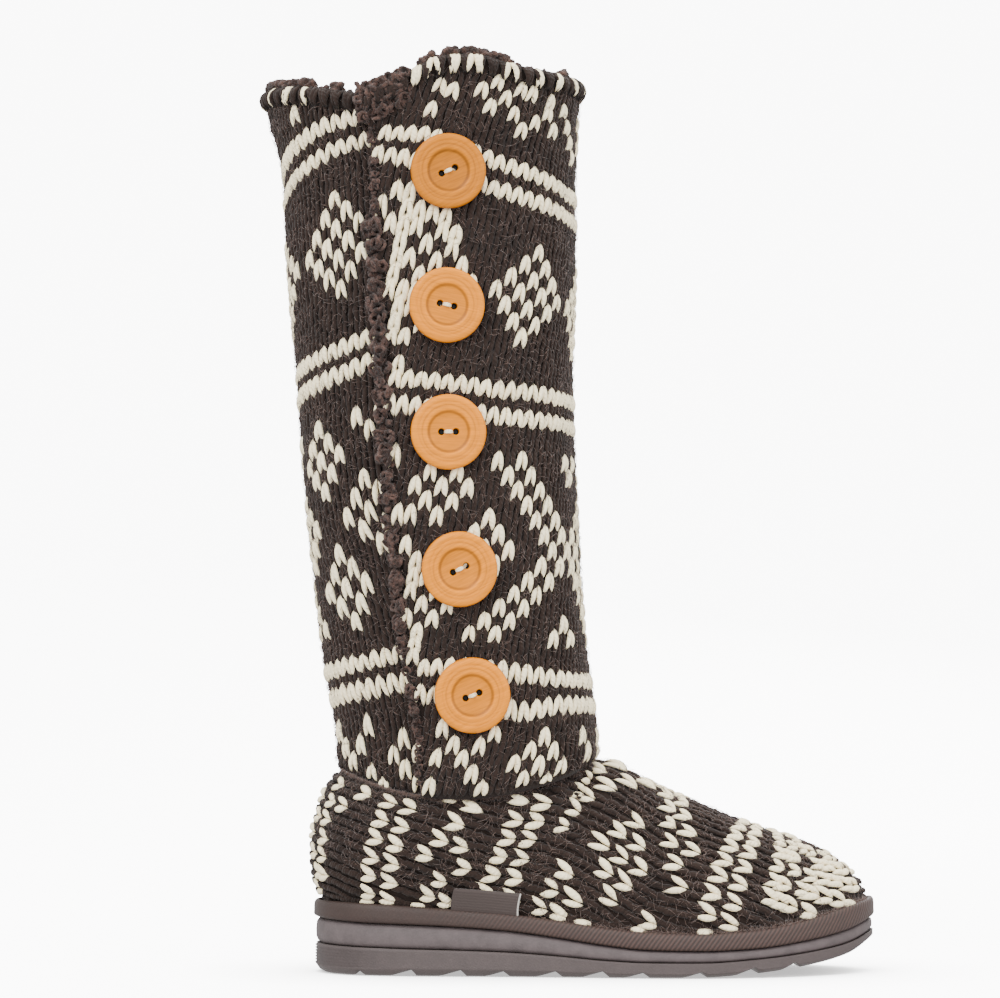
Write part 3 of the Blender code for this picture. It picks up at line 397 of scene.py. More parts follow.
def foot_sections(side, station, rows):
    """Grid of wall points: each section is a cubic curve from the sole's edge, pushed out and
    up at its foot, to the ankle seam or the ridge."""
    table = FOOT_OUTER if side == "outer" else FOOT_INNER
    hand = -1.0 if side == "outer" else 1.0
    get = lambda index: column(table, index, station)
    point, out = edge_points(side, get(EDGE_SHARE))
    foot = point - out * RAND_TO_KNIT
    low = sole_height(RAND_FOOT, foot[:, 0]) + GAP / 2
    lip = sole_height(RAND_TOP, foot[:, 0]) + 0.0004
    tops = get(TOP_SHARE)
    turn = 180.0 * (1.0 - np.minimum(tops, 1.0))
    share = column(RIDGE, 0, RIDGE[0, 0] + np.clip(tops - 1.0, 0.0, 1.0)
                   * (RIDGE[-1, 0] - RIDGE[0, 0]))
    ridge = np.stack([along_x(share), BALL_WIDTH * column(RIDGE, 2, share),
                      BOOT_HEIGHT * column(RIDGE, 1, share)], axis=1)
    step = 0.002
    run = (np.minimum(share + step, RIDGE[-1, 0])
           - np.maximum(share - step, RIDGE[0, 0])) * SOLE_LENGTH
    slope = (column(RIDGE, 1, share + step) - column(RIDGE, 1, share - step)) * BOOT_HEIGHT / run
    seam = shaft_point(-hand * turn, seam_height(-hand * turn), -SEAM_INSET)
    open_top = tops < 1.0
    top = np.where(open_top[:, None], seam, ridge)
    slope = np.where(open_top, 0.0, slope)
    heading, pitch = np.radians(get(HEADING)), np.radians(get(PITCH))
    reach = get(REACH) * BALL_WIDTH
    flat = reach * np.cos(pitch)
    handle = np.stack([flat * np.cos(heading), hand * flat * np.sin(heading),
                       -reach * np.sin(pitch) + flat * np.cos(heading) * slope], axis=1)
    start = np.column_stack([foot, lip])
    first = start + np.column_stack([out * (get(SWELL) * BALL_WIDTH)[:, None],
                                     get(RISE) * BALL_WIDTH])
    t = np.linspace(0.0, 1.0, rows - 1)[None, :, None]
    a, b, c, d = start[:, None], first[:, None], (top + handle)[:, None], top[:, None]
    wall = (a * (1 - t) ** 3 + 3 * b * t * (1 - t) ** 2 + 3 * c * t * t * (1 - t)
            + d * t ** 3)
    return np.concatenate([np.column_stack([foot, low])[:, None], wall], axis=1), out, open_top


def foot_walls(stations, rows):
    """Both sides' wall grids with outward normals, which agree where the sides meet."""
    walls = {}
    for side, hand in (("outer", 1.0), ("inner", -1.0)):
        grid, out, open_top = foot_sections(side, np.linspace(0.0, 1.0, stations), rows)
        ahead = np.gradient(grid, axis=0)
        up = np.gradient(grid, axis=1)
        normal = unit(np.cross(ahead, up) * hand)
        normal[:, :2] = np.column_stack([out, np.zeros(len(out))])[:, None]
        walls[side] = [grid, normal]
    for pick in (np.s_[0, :], np.s_[-1, :], np.s_[~open_top, -1]):
        shared = unit(walls["outer"][1][pick] + walls["inner"][1][pick])
        walls["outer"][1][pick] = shared
        walls["inner"][1][pick] = shared
    return walls


# Meshes.
def quads(count_u, count_v, close_u=False, close_v=False):
    """Four-sided faces of a grid whose vertices run along v first, closed round if asked."""
    u = np.arange(count_u if close_u else count_u - 1)
    v = np.arange(count_v if close_v else count_v - 1)
    a, b = np.meshgrid(u, v, indexing="ij")
    c, d = (a + 1) % count_u, (b + 1) % count_v
    return np.stack([a * count_v + b, c * count_v + b, c * count_v + d, a * count_v + d],
                    axis=-1).reshape(-1, 4)


def fan(count, base, tip, back=False):
    """Triangles that close a ring of count vertices, from base on, to the vertex tip."""
    here = base + np.arange(count)
    there = base + (np.arange(count) + 1) % count
    return np.stack([there, here, np.full(count, tip)] if back else [here, there, np.full(count, tip)],
                    axis=1)


def copies(groups, count, each):
    """Faces of count like solids, whose vertices follow one another, so many to each."""
    shift = (np.arange(count) * each)[:, None, None]
    return [(group[None] + shift).reshape(-1, group.shape[1]) for group in groups]


def make_piece(name, verts, faces, kind, slot, nodes, strand=None):
    """Mesh from whole arrays; faces is a list of index arrays, strand a UV pair per vertex."""
    verts = np.asarray(verts, float).reshape(-1, 3)
    mesh = bpy.data.meshes.new(name)
    mesh.vertices.add(len(verts))
    mesh.vertices.foreach_set("co", verts.astype(np.float32).ravel())
    sizes = np.concatenate([np.full(len(group), group.shape[1]) for group in faces])
    index = np.concatenate([group.ravel() for group in faces]).astype(np.int32)
    mesh.loops.add(len(index))
    mesh.loops.foreach_set("vertex_index", index)
    mesh.polygons.add(len(sizes))
    starts = np.concatenate(([0], np.cumsum(sizes)[:-1])).astype(np.int32)
    mesh.polygons.foreach_set("loop_start", starts)
    mesh.polygons.foreach_set("loop_total", sizes.astype(np.int32))
    mesh.update(calc_edges=True)
    mesh.polygons.foreach_set("use_smooth", np.full(len(sizes), True))
    if strand is not None:
        layer = mesh.uv_layers.new(name="strand")
        flat = np.asarray(strand, np.float32).reshape(-1, 2)
        layer.data.foreach_set("uv", flat[index].ravel())
    mesh.validate()
    mesh.materials.append(material_for(kind))
    piece = bpy.data.objects.new(name, mesh)
    bpy.context.scene.collection.objects.link(piece)
    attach(piece, "root")
    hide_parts(*nodes)


def shell(near, far, close_u=False):
    """Closed wall between two grids: near faces out, far faces in, rims join them."""
    nu, nv = near.shape[:2]
    total = nu * nv
    front = quads(nu, nv, close_u)
    faces = [front, front[:, ::-1] + total]
    u = np.arange(nu if close_u else nu - 1)
    nxt = (u + 1) % nu
    faces.append(np.stack([nxt * nv, u * nv, total + u * nv, total + nxt * nv], axis=1))
    top = nv - 1
    faces.append(np.stack([u * nv + top, nxt * nv + top, total + nxt * nv + top,
                           total + u * nv + top], axis=1))
    if not close_u:
        v = np.arange(nv - 1)
        faces.append(np.stack([v, v + 1, total + v + 1, total + v], axis=1))
        last = (nu - 1) * nv
        faces.append(np.stack([last + v + 1, last + v, total + last + v,
                               total + last + v + 1], axis=1))
    return np.concatenate([near.reshape(-1, 3), far.reshape(-1, 3)]), faces


def strands(start, middle, end, out, width, depth, rings=5, sides=6, power=0.85):
    """Spindles of yarn: a quadratic curve through three points for each, with an oval section
    whose size goes with the sine of the way along, closed to a point at both ends.
    Returns vertices, faces and a (way along, way round) pair per vertex."""
    count = len(start)
    t = np.linspace(0.0, 1.0, rings + 2)[1:-1]
    control = 2 * middle - (start + end) / 2
    a, b, c = start[:, None], control[:, None], end[:, None]
    s = t[None, :, None]
    path = a * (1 - s) ** 2 + 2 * b * s * (1 - s) + c * s * s
    ahead = unit(2 * (b - a) * (1 - s) + 2 * (c - b) * s)
    side = unit(np.cross(out[:, None], ahead))
    rise = np.cross(ahead, side)
    size = np.sin(np.pi * t) ** power
    angle = np.arange(sides) * 2 * np.pi / sides
    wide = (np.asarray(width)[:, None] * size)[:, :, None, None] * side[:, :, None]
    tall = (np.asarray(depth)[:, None] * size)[:, :, None, None] * rise[:, :, None]
    round_ = (path[:, :, None] + wide * np.cos(angle)[None, None, :, None]
              + tall * np.sin(angle)[None, None, :, None])
    verts = np.concatenate([round_.reshape(count, -1, 3), start[:, None], end[:, None]], axis=1)
    each = rings * sides + 2
    belt = quads(rings, sides, close_v=True)[:, ::-1]
    first = fan(sides, 0, each - 2)[:, ::-1]
    last = fan(sides, (rings - 1) * sides, each - 1, True)[:, ::-1]
    faces = copies((belt, first, last), count, each)
    along = np.concatenate([np.repeat(t, sides), [0.0, 1.0]])
    about = np.concatenate([np.tile(np.arange(sides) / sides, rings), [0.5, 0.5]])
    pair = np.broadcast_to(np.stack([along, about], axis=1), (count, each, 2))
    return verts.reshape(-1, 3), faces, pair


def join(groups):
    """One vertex list, face list and strand list from several (verts, faces, strand) groups."""
    verts, strand, tall, base = [], [], {}, 0
    for points, faces, pairs in groups:
        points = points.reshape(-1, 3)
        verts.append(points)
        strand.append(pairs.reshape(-1, 2))
        for face in faces:
            tall.setdefault(face.shape[1], []).append(face + base)
        base += len(points)
    return np.concatenate(verts), [np.concatenate(g) for g in tall.values()], np.concatenate(strand)


def make_joined(name, groups, kind, nodes, slot="knit_yarn"):
    """One piece from several (verts, faces, strand) groups."""
    verts, faces, pair = join(groups)
    make_piece(name, verts, faces, kind, slot, nodes, pair)


def shaft_frame(turn, height):
    """Point on the lifted sheet and its outward normal."""
    here = shaft_point(turn, height, flap_lift(turn))
    round_way = (shaft_point(turn - 0.4, height, flap_lift(turn - 0.4))
                 - shaft_point(turn + 0.4, height, flap_lift(turn + 0.4)))
    up_way = (shaft_point(turn, height + 0.001, flap_lift(turn))
              - shaft_point(turn, height - 0.001, flap_lift(turn)))
    return here, unit(np.cross(round_way, up_way))


def row_height(row, turn):
    """Height in metres of a knit row at a turn: straight lines between the guides."""
    row, turn = np.broadcast_arrays(np.asarray(row, float), np.asarray(turn, float))
    wrapped = np.where(turn < ROW_TURNS[0], ROW_TURNS[0], turn)
    k = np.clip(np.searchsorted(ROW_GUIDES[:, 0], row, side="right") - 1, 0, len(ROW_GUIDES) - 2)
    t = (row - ROW_GUIDES[k, 0]) / (ROW_GUIDES[k + 1, 0] - ROW_GUIDES[k, 0])
    j = np.clip(np.searchsorted(ROW_TURNS, wrapped, side="right") - 1, 0, len(ROW_TURNS) - 2)
    s = (wrapped - ROW_TURNS[j]) / (ROW_TURNS[j + 1] - ROW_TURNS[j])
    s = np.clip(s, 0.0, 1.0)
    table = ROW_GUIDES[:, 1:]
    low = table[k, j] * (1 - s) + table[k, j + 1] * s
    high = table[k + 1, j] * (1 - s) + table[k + 1, j + 1] * s
    return (low * (1 - t) + high * t) * MM


class Panel:
    """One knit panel of the shaft: finds the turn of a (row, column) from arc lengths that are
    measured round the sheet once for each half row."""

    def __init__(self, kind):
        self.kind = kind
        lo, hi = (PANEL_JOIN - 6.0, FLAP_EDGE + 3.0) if kind == "front" else (-262.0, PANEL_JOIN + 6.0)
        self.turn = np.linspace(lo, hi, 700)
        self.rows = np.arange(-2.0, 56.0, 0.5)
        turns, rows = np.meshgrid(self.turn, self.rows)
        point = shaft_point(turns, row_height(rows, turns), flap_lift(turns))[..., :2]
        step = np.linalg.norm(np.diff(point, axis=1), axis=2) * 1000
        arc = np.concatenate([np.zeros((len(self.rows), 1)), np.cumsum(step, axis=1)], axis=1)
        zero = 0.0 if kind == "front" else ROW_TURNS[0]
        base = np.array([np.interp(zero, self.turn, line) for line in arc])
        self.arc = arc - base[:, None]

    def where(self, row, col):
        """Point, normal and turn at fabric places, with row a multiple of a half."""
        if self.kind == "front":
            arc = FRONT_START_MM + FRONT_COLUMN_MM * col + FRONT_LEAN_MM * (row - 35)
        else:
            arc = REAR_COLUMN_MM * (col + np.interp(row, REAR_DRIFT[:, 0], REAR_DRIFT[:, 1]))
        turn = np.zeros_like(arc)
        place = np.clip(np.round((row + 2.0) * 2).astype(int), 0, len(self.rows) - 1)
        for k in np.unique(place):
            pick = place == k
            turn[pick] = np.interp(arc[pick], self.arc[k], self.turn)
        point, normal = shaft_frame(turn, row_height(row, turn))
        return point, normal, turn


def checker(across, up, half):
    """True on the checkerboard stitches of a diamond with the given half size."""
    reach = half - np.abs(up)
    return (reach >= 0) & (np.abs(across) <= reach) & ((np.abs(across) + reach) % 2 == 0)


def band_chart(row, col, centre):
    """Wide band: a double-lined frame, four small diamonds in it, triangles between frames."""
    across = (col - centre + 12) % 24 - 12
    up = row - 35
    k = np.abs(up)
    inside = k <= 6
    frame_line = inside & ((np.abs(across) == 10 - k) | (np.abs(across) == 12 - k))
    small = (checker(across, up - 4, 2) | checker(across, up + 4, 2)
             | checker(across - 4, up, 2) | checker(across + 4, up, 2))
    tips = ((k == 6) & (np.abs(across) == 11)) | ((k == 5) & (np.abs(across) == 12))
    return frame_line | small | tips


def listed(row, col, marks):
    """True where (row, column) is one of the marks."""
    marks = np.asarray(marks)
    return np.isin(row * 1000 + col, marks[:, 0] * 1000 + marks[:, 1])


def shaft_chart(row, col, kind):
    """True for cream stitches of the shaft."""
    cream = np.isin(row, (8, 10, 24, 26, 44, 46))
    across = (col - (6 if kind == "front" else 4) + 4) % 8 - 4
    cream |= checker(across, row - 17, 3)
    cream |= band_chart(row, col, 10 if kind == "front" else 7)
    if kind == "front":
        wrapped = (col % 8) + np.where(col % 8 < 2, 8, 0)
        shown = col > -7
        cream |= shown & listed(row, col, FRONT_LOW + FRONT_EXTRAS)
        cream |= ~shown & listed(row, wrapped, FRONT_LOW_REPEAT)
        around = np.where(col > 1, col, (col - 3) % 12 + 3)
        cream |= listed(row, around, FRONT_TOP)
    else:
        cream |= listed(row, col, REAR_MARKS)
    return cream


def foot_chart(course, wale):
    """True for cream stitches of the foot part."""
    cream = np.isin(course, (0, 2, 12, 14, 32, 34))
    cream |= (course > 14) & (course < 32) & band_chart(course + 12, wale, 10)
    return cream | listed(course, wale, FOOT_MARKS + TOE_MARKS)


def leg_pairs(centre, up, side, out, width, depth, chance, reach=(0.84, -0.90), spread=(0.06, 0.24, 0.37),
              sink=0.0010, crown=0.0004):
    """Both legs of each stitch: from close together at its head to apart at its foot, bowed
    outward halfway, with both ends sunk into the knit."""
    ends = []
    for hand in (-1.0, 1.0):
        shake = lambda size: 1.0 + chance.uniform(-size, size, (len(centre), 1))
        head = (centre + up * reach[0] * shake(0.08) + side * hand * spread[0] * shake(0.9)
                - out * sink)
        waist = centre + side * hand * spread[1] * shake(0.14) + out * crown * shake(0.8)
        foot = (centre + up * reach[1] * shake(0.08) + side * hand * spread[2] * shake(0.20)
                - out * sink)
        ends.append((head, waist, foot, out, width * shake(0.12)[:, 0], depth * shake(0.15)[:, 0]))
    return [np.concatenate([a, b]) for a, b in zip(*ends)]


# Materials.
def set_inputs(tree, node, links):
    """Sockets of a node; links are (socket, value or output) pairs."""
    for socket, value in links:
        if isinstance(value, bpy.types.NodeSocket):
            tree.links.new(value, node.inputs[socket])
        else:
            node.inputs[socket].default_value = value


def add_node(tree, kind, at, links=(), **settings):
    """One node with its settings and its sockets."""
    node = tree.nodes.new(kind)
    node.location = at
    for name, value in settings.items():
        setattr(node, name, value)
    set_inputs(tree, node, links)
    return node


def blank_material(name):
    material = bpy.data.materials.new(name)
    material.use_nodes = True
    tree = material.node_tree
    return material, tree, tree.nodes["Principled BSDF"]


def shade(colour, factor):
    return (*[min(1.0, c * factor) for c in colour], 1.0)


def two_tones(ramp, colour, dark, pale, low=0.0, high=1.0):
    """Runs a ramp from dark times the colour, at low, to pale times the colour, at high."""
    for stop, at, factor in zip(ramp.color_ramp.elements, (low, high), (dark, pale)):
        stop.position = at
        stop.color = shade(colour, factor)


def wool(name, colour, contrast, roughness, sheen, ply=True):
    """Spun wool. Matt and soft: no clear highlight, a pale bloom at grazing angles from loose
    fibres, and uneven depth of colour from strand to strand; the plies wind slantwise."""
    material, tree, shader = blank_material(name)
    coord = add_node(tree, "ShaderNodeTexCoord", (-1100, 0))
    # Shade drifts over about 12 mm, and fibres mottle it over about 1 mm.
    drift = add_node(tree, "ShaderNodeTexNoise", (-850, 250), (("Vector", coord.outputs["Object"]),
                     ("Scale", 85.0), ("Detail", 2.0)))
    fibre = add_node(tree, "ShaderNodeTexNoise", (-850, 0), (("Vector", coord.outputs["Object"]),
                     ("Scale", 950.0), ("Detail", 4.0), ("Roughness", 0.7)))
    grain = fibre.outputs["Fac"]
    if ply:
        # Fibres run along the yarn: noise in its own UV, six times finer round a leg than along it.
        pair = add_node(tree, "ShaderNodeUVMap", (-1300, -300), uv_map="strand")
        apart = add_node(tree, "ShaderNodeMapping", (-1100, -100), (("Vector", coord.outputs["Object"]),
                         ("Scale", (150.0, 150.0, 150.0))))
        drawn = add_node(tree, "ShaderNodeVectorMath", (-950, -150), ((0, pair.outputs["UV"]),
                         (1, (1.5, 9.0, 0.0)), (2, apart.outputs["Vector"])), operation="MULTIPLY_ADD")
        streak = add_node(tree, "ShaderNodeTexNoise", (-800, -150), (("Vector", drawn.outputs["Vector"]),
                          ("Scale", 1.6), ("Detail", 3.0)))
        grain = streak.outputs["Fac"]
    mixed = add_node(tree, "ShaderNodeMath", (-650, 150), ((0, drift.outputs["Fac"]), (1, grain)),
                     operation="ADD")
    ramp = add_node(tree, "ShaderNodeValToRGB", (-450, 200), (("Fac", mixed.outputs[0]),))
    two_tones(ramp, colour, 1.0 - contrast, 1.0 + contrast * 0.9, 0.55)
    height = grain
    if ply:
        split = add_node(tree, "ShaderNodeSeparateXYZ", (-950, -300), (("Vector", pair.outputs["UV"]),))
        lean = add_node(tree, "ShaderNodeMath", (-800, -300), ((0, split.outputs["X"]), (1, 3.0),
                        (2, split.outputs["Y"])), operation="MULTIPLY_ADD")
        wave = add_node(tree, "ShaderNodeMath", (-650, -300), ((0, lean.outputs[0]), (1, 12.566)),
                        operation="MULTIPLY")
        sine = add_node(tree, "ShaderNodeMath", (-500, -300), ((0, wave.outputs[0]),), operation="SINE")
        total = add_node(tree, "ShaderNodeMath", (-350, -200), ((0, sine.outputs[0]), (1, 0.35),
                         (2, grain)), operation="MULTIPLY_ADD")
        height = total.outputs[0]
    bump = add_node(tree, "ShaderNodeBump", (-200, -200), (("Height", height), ("Strength", 0.55),
                    ("Distance", 0.0006)))
    set_inputs(tree, shader, (("Base Color", ramp.outputs["Color"]), ("Normal", bump.outputs["Normal"]),
                              ("Roughness", roughness), ("Specular IOR Level", 0.15),
                              ("Sheen Weight", sheen), ("Sheen Roughness", 0.6)))
    return material


def curly_fleece(name, colour):
    """Sheared curly fleece. Dull and deep: curl tips painted pale as highlight over hollows painted dark as
    shade, at 2 to 4 mm.
    """
    material, tree, shader = blank_material(name)
    coord = add_node(tree, "ShaderNodeTexCoord", (-1100, 0))
    curl = add_node(tree, "ShaderNodeTexVoronoi", (-850, 100), (("Vector", coord.outputs["Object"]),
                    ("Scale", 330.0), ("Randomness", 1.0)), feature="SMOOTH_F1")
    fibre = add_node(tree, "ShaderNodeTexNoise", (-850, -150), (("Vector", coord.outputs["Object"]),
                     ("Scale", 900.0), ("Detail", 4.0), ("Distortion", 1.5)))
    total = add_node(tree, "ShaderNodeMath", (-600, 0), ((0, curl.outputs["Distance"]), (1, -0.8),
                     (2, fibre.outputs["Fac"])), operation="MULTIPLY_ADD")
    # Painted light and shade: pale where a curl's middle stands up, dark in the hollows between curls.
    ramp = add_node(tree, "ShaderNodeValToRGB", (-400, 150), (("Fac", total.outputs[0]),))
    two_tones(ramp, colour, 0.30, 1.75, 0.02, 0.55)
    bump = add_node(tree, "ShaderNodeBump", (-200, -200), (("Height", total.outputs[0]),
                    ("Strength", 0.9), ("Distance", 0.0015)))
    set_inputs(tree, shader, (("Base Color", ramp.outputs["Color"]), ("Normal", bump.outputs["Normal"]),
                              ("Roughness", 0.95), ("Specular IOR Level", 0.1), ("Sheen Weight", 0.12)))
    return material


def moulded_rubber(name, colour, mottle, roughness, rib_pitch=0.0):
    """Moulded rubber. A low soft shine broken by fine grit and dust, slightly uneven colour; the rand also
    carries slanted ribs toward the toe, in its strip UV given in metres, with painted shading: crests
    lighter, grooves darker."""
    material, tree, shader = blank_material(name)
    coord = add_node(tree, "ShaderNodeTexCoord", (-1300, 200))
    cloud = add_node(tree, "ShaderNodeTexNoise", (-1050, 300), (("Vector", coord.outputs["Object"]),
                     ("Scale", 130.0), ("Detail", 5.0), ("Roughness", 0.65)))
    grit = add_node(tree, "ShaderNodeTexNoise", (-1050, 50), (("Vector", coord.outputs["Object"]),
                    ("Scale", 1300.0), ("Detail", 2.0)))
    ramp = add_node(tree, "ShaderNodeValToRGB", (-800, 300), (("Fac", cloud.outputs["Fac"]),))
    two_tones(ramp, colour, 1.0 - mottle, 1.0 + mottle, 0.3, 0.7)
    height = grit.outputs["Fac"]
    colour_out = ramp.outputs["Color"]
    if rib_pitch:
        pair = add_node(tree, "ShaderNodeUVMap", (-1300, -300), uv_map="strand")
        split = add_node(tree, "ShaderNodeSeparateXYZ", (-1150, -300), (("Vector", pair.outputs["UV"]),))
        lean = add_node(tree, "ShaderNodeMath", (-1000, -300), ((0, split.outputs["Y"]), (1, -0.75),
                        (2, split.outputs["X"])), operation="MULTIPLY_ADD")
        wave = add_node(tree, "ShaderNodeMath", (-850, -300), ((0, lean.outputs[0]),
                        (1, 2 * math.pi / rib_pitch)), operation="MULTIPLY")
        sine = add_node(tree, "ShaderNodeMath", (-700, -300), ((0, wave.outputs[0]),), operation="SINE")
        # Ribs stand at full height from half way along the shoe and nearly fade out at the heel.
        fade = add_node(tree, "ShaderNodeMapRange", (-850, -500), (("Value", split.outputs["X"]),
                        ("From Min", 0.07), ("From Max", 0.15), ("To Min", 0.04), ("To Max", 1.0)))
        lift = add_node(tree, "ShaderNodeMath", (-620, -400), ((0, sine.outputs[0]), (1, 0.7)),
                        operation="ADD")
        rib = add_node(tree, "ShaderNodeMath", (-550, -300), ((0, lift.outputs[0]),
                       (1, fade.outputs["Result"])), operation="MULTIPLY")
        # Painted shading of the ribs: colour lighter on their crests and darker in their grooves, on top of
        # their bump.
        painted_rib_shading = add_node(tree, "ShaderNodeMapRange", (-550, 100), (("Value", rib.outputs[0]),
                        ("From Min", -0.3), ("From Max", 1.7), ("To Min", 0.66), ("To Max", 1.70)))
        mix = add_node(tree, "ShaderNodeVectorMath", (-350, 250), ((0, ramp.outputs["Color"]),
                       ("Scale", painted_rib_shading.outputs["Result"])), operation="SCALE")
        colour_out = mix.outputs["Vector"]
        total = add_node(tree, "ShaderNodeMath", (-350, -150), ((0, rib.outputs[0]), (1, 0.8),
                         (2, grit.outputs["Fac"])), operation="MULTIPLY_ADD")
        height = total.outputs[0]
    bump = add_node(tree, "ShaderNodeBump", (-200, -150), (("Height", height), ("Strength", 0.35),
                    ("Distance", 0.0005)))
    rough = add_node(tree, "ShaderNodeMapRange", (-550, -50), (("Value", cloud.outputs["Fac"]),
                     ("To Min", roughness - 0.08), ("To Max", roughness + 0.12)))
    set_inputs(tree, shader, (("Base Color", colour_out), ("Normal", bump.outputs["Normal"]),
                              ("Roughness", rough.outputs["Result"]), ("Specular IOR Level", 0.4)))
    return material


def turned_wood(name, colour, lightness):
    """Turned hardwood, oiled. Fine long grain across the disc, thin darker pores; painted light by distance
    from the middle: painted shade over the dish, darker at the foot of its step, in the fine groove and down
    the outer side, painted highlights on the dish's lip and the outer shoulder; painted shadow in the holes;
    a low sheen under a thin coat."""
    material, tree, shader = blank_material(name)
    pair = add_node(tree, "ShaderNodeUVMap", (-1400, 0), uv_map="strand")
    coord = add_node(tree, "ShaderNodeTexCoord", (-1400, 250))
    # Grain is drawn out 14 to 1 along the disc; the UV is in button widths, from its middle.
    place = add_node(tree, "ShaderNodeMapping", (-1200, 100), (("Vector", pair.outputs["UV"]),
                     ("Scale", (2.0, 28.0, 1.0)), ("Rotation", (0.0, 0.0, 0.5))))
    split = add_node(tree, "ShaderNodeSeparateXYZ", (-1200, 300), (("Vector", coord.outputs["Object"]),))
    own = add_node(tree, "ShaderNodeMath", (-1050, 300), ((0, split.outputs["Z"]), (1, 9.0)),
                   operation="MULTIPLY")
    grain = add_node(tree, "ShaderNodeTexNoise", (-900, 150), (("Vector", place.outputs["Vector"]),
                     ("W", own.outputs[0]), ("Scale", 1.5), ("Detail", 6.0), ("Roughness", 0.6),
                     ("Distortion", 0.5)), noise_dimensions="4D")
    ramp = add_node(tree, "ShaderNodeValToRGB", (-700, 150), (("Fac", grain.outputs["Fac"]),))
    two_tones(ramp, colour, 0.74 * lightness, 1.10 * lightness, 0.30, 0.66)
    radius = add_node(tree, "ShaderNodeVectorMath", (-1200, -150), ((0, pair.outputs["UV"]),),
                      operation="LENGTH")
    # Painted light and shade by distance from the middle, in button widths: the dish a little darker, darker
    # still at the foot of its step (0.26) and in the fine groove (0.35), lighter on the lip (0.29) and the
    # outer shoulder (0.47), darker down the outer side (0.5).
    rings = add_node(tree, "ShaderNodeValToRGB", (-1000, -200), (("Fac", radius.outputs["Value"]),))
    painted_light_stops = rings.color_ramp.elements
    painted_light_stops[0].position, painted_light_stops[0].color = 0.0, (0.80, 0.80, 0.80, 1.0)
    painted_light_stops[1].position, painted_light_stops[1].color = 0.5, (0.62, 0.55, 0.50, 1.0)
    for at, value in ((0.235, 0.78), (0.258, 0.42), (0.272, 0.50), (0.292, 1.0), (0.335, 0.93), (0.352, 0.70),
                      (0.366, 0.92), (0.452, 0.95), (0.470, 1.0), (0.490, 0.95)):
        stop = painted_light_stops.new(at)
        stop.color = (value, value, value, 1.0)
    # Holes: painted shadow, dark within half the holes' width of either centre.
    fold = add_node(tree, "ShaderNodeVectorMath", (-1200, -500), ((0, pair.outputs["UV"]),),
                    operation="ABSOLUTE")
    shift = add_node(tree, "ShaderNodeVectorMath", (-1050, -500), ((0, fold.outputs["Vector"]),
                     (1, (HOLE_SPACING / 2 / BUTTON_DIAMETER, 0.0, 0.0))), operation="DISTANCE")
    hole_shadow = add_node(tree, "ShaderNodeMapRange", (-850, -500), (("Value", shift.outputs["Value"]),
                    ("From Min", 0.034), ("From Max", 0.046), ("To Min", 0.0), ("To Max", 1.0)))
    both = add_node(tree, "ShaderNodeVectorMath", (-650, -200), ((0, rings.outputs["Color"]),
                    ("Scale", hole_shadow.outputs["Result"])), operation="SCALE")
    mix = add_node(tree, "ShaderNodeVectorMath", (-400, 100), ((0, ramp.outputs["Color"]),
                   (1, both.outputs["Vector"])), operation="MULTIPLY")
    bump = add_node(tree, "ShaderNodeBump", (-200, -150), (("Height", grain.outputs["Fac"]),
                    ("Strength", 0.25), ("Distance", 0.0002)))
    set_inputs(tree, shader, (("Base Color", mix.outputs["Vector"]), ("Normal", bump.outputs["Normal"]),
                              ("Roughness", 0.42), ("Specular IOR Level", 0.14),
                              ("Coat Weight", 0.03), ("Coat Roughness", 0.35)))
    return material


def woven_tape(name, colour):
    """Woven tape. Flat and slightly silky, ribbed by its weft threads at 1.2 mm."""
    material, tree, shader = blank_material(name)
    pair = add_node(tree, "ShaderNodeUVMap", (-1000, 0), uv_map="strand")
    weft = add_node(tree, "ShaderNodeTexWave", (-750, 100), (("Vector", pair.outputs["UV"]),
                    ("Scale", 260.0), ("Distortion", 0.6)), bands_direction="Y")
    thread = add_node(tree, "ShaderNodeTexNoise", (-750, -150), (("Vector", pair.outputs["UV"]),
                      ("Scale", 1500.0), ("Detail", 3.0)))
    ramp = add_node(tree, "ShaderNodeValToRGB", (-450, 150), (("Fac", thread.outputs["Fac"]),))
    two_tones(ramp, colour, 0.75, 1.30)
    # A pale cut edge, 0.7 mm wide, at the tape's toe end.
    split = add_node(tree, "ShaderNodeSeparateXYZ", (-750, 350), (("Vector", pair.outputs["UV"]),))
    length = (LABEL_ALONG[1] - LABEL_ALONG[0]) * SOLE_LENGTH
    edge = add_node(tree, "ShaderNodeMapRange", (-550, 350), (("Value", split.outputs["X"]),
                    ("From Min", length - 0.0010), ("From Max", length - 0.0007)))
    both = add_node(tree, "ShaderNodeMix", (-250, 250), (("Factor", edge.outputs["Result"]),
                    (6, ramp.outputs["Color"]), (7, (0.42, 0.39, 0.36, 1.0))), data_type="RGBA")
    bump = add_node(tree, "ShaderNodeBump", (-200, -150), (("Height", weft.outputs["Fac"]),
                    ("Strength", 0.4), ("Distance", 0.0002)))
    set_inputs(tree, shader, (("Base Color", both.outputs[2]), ("Normal", bump.outputs["Normal"]),
                              ("Roughness", 0.7), ("Sheen Weight", 0.2)))
    return material


MATERIALS = {}


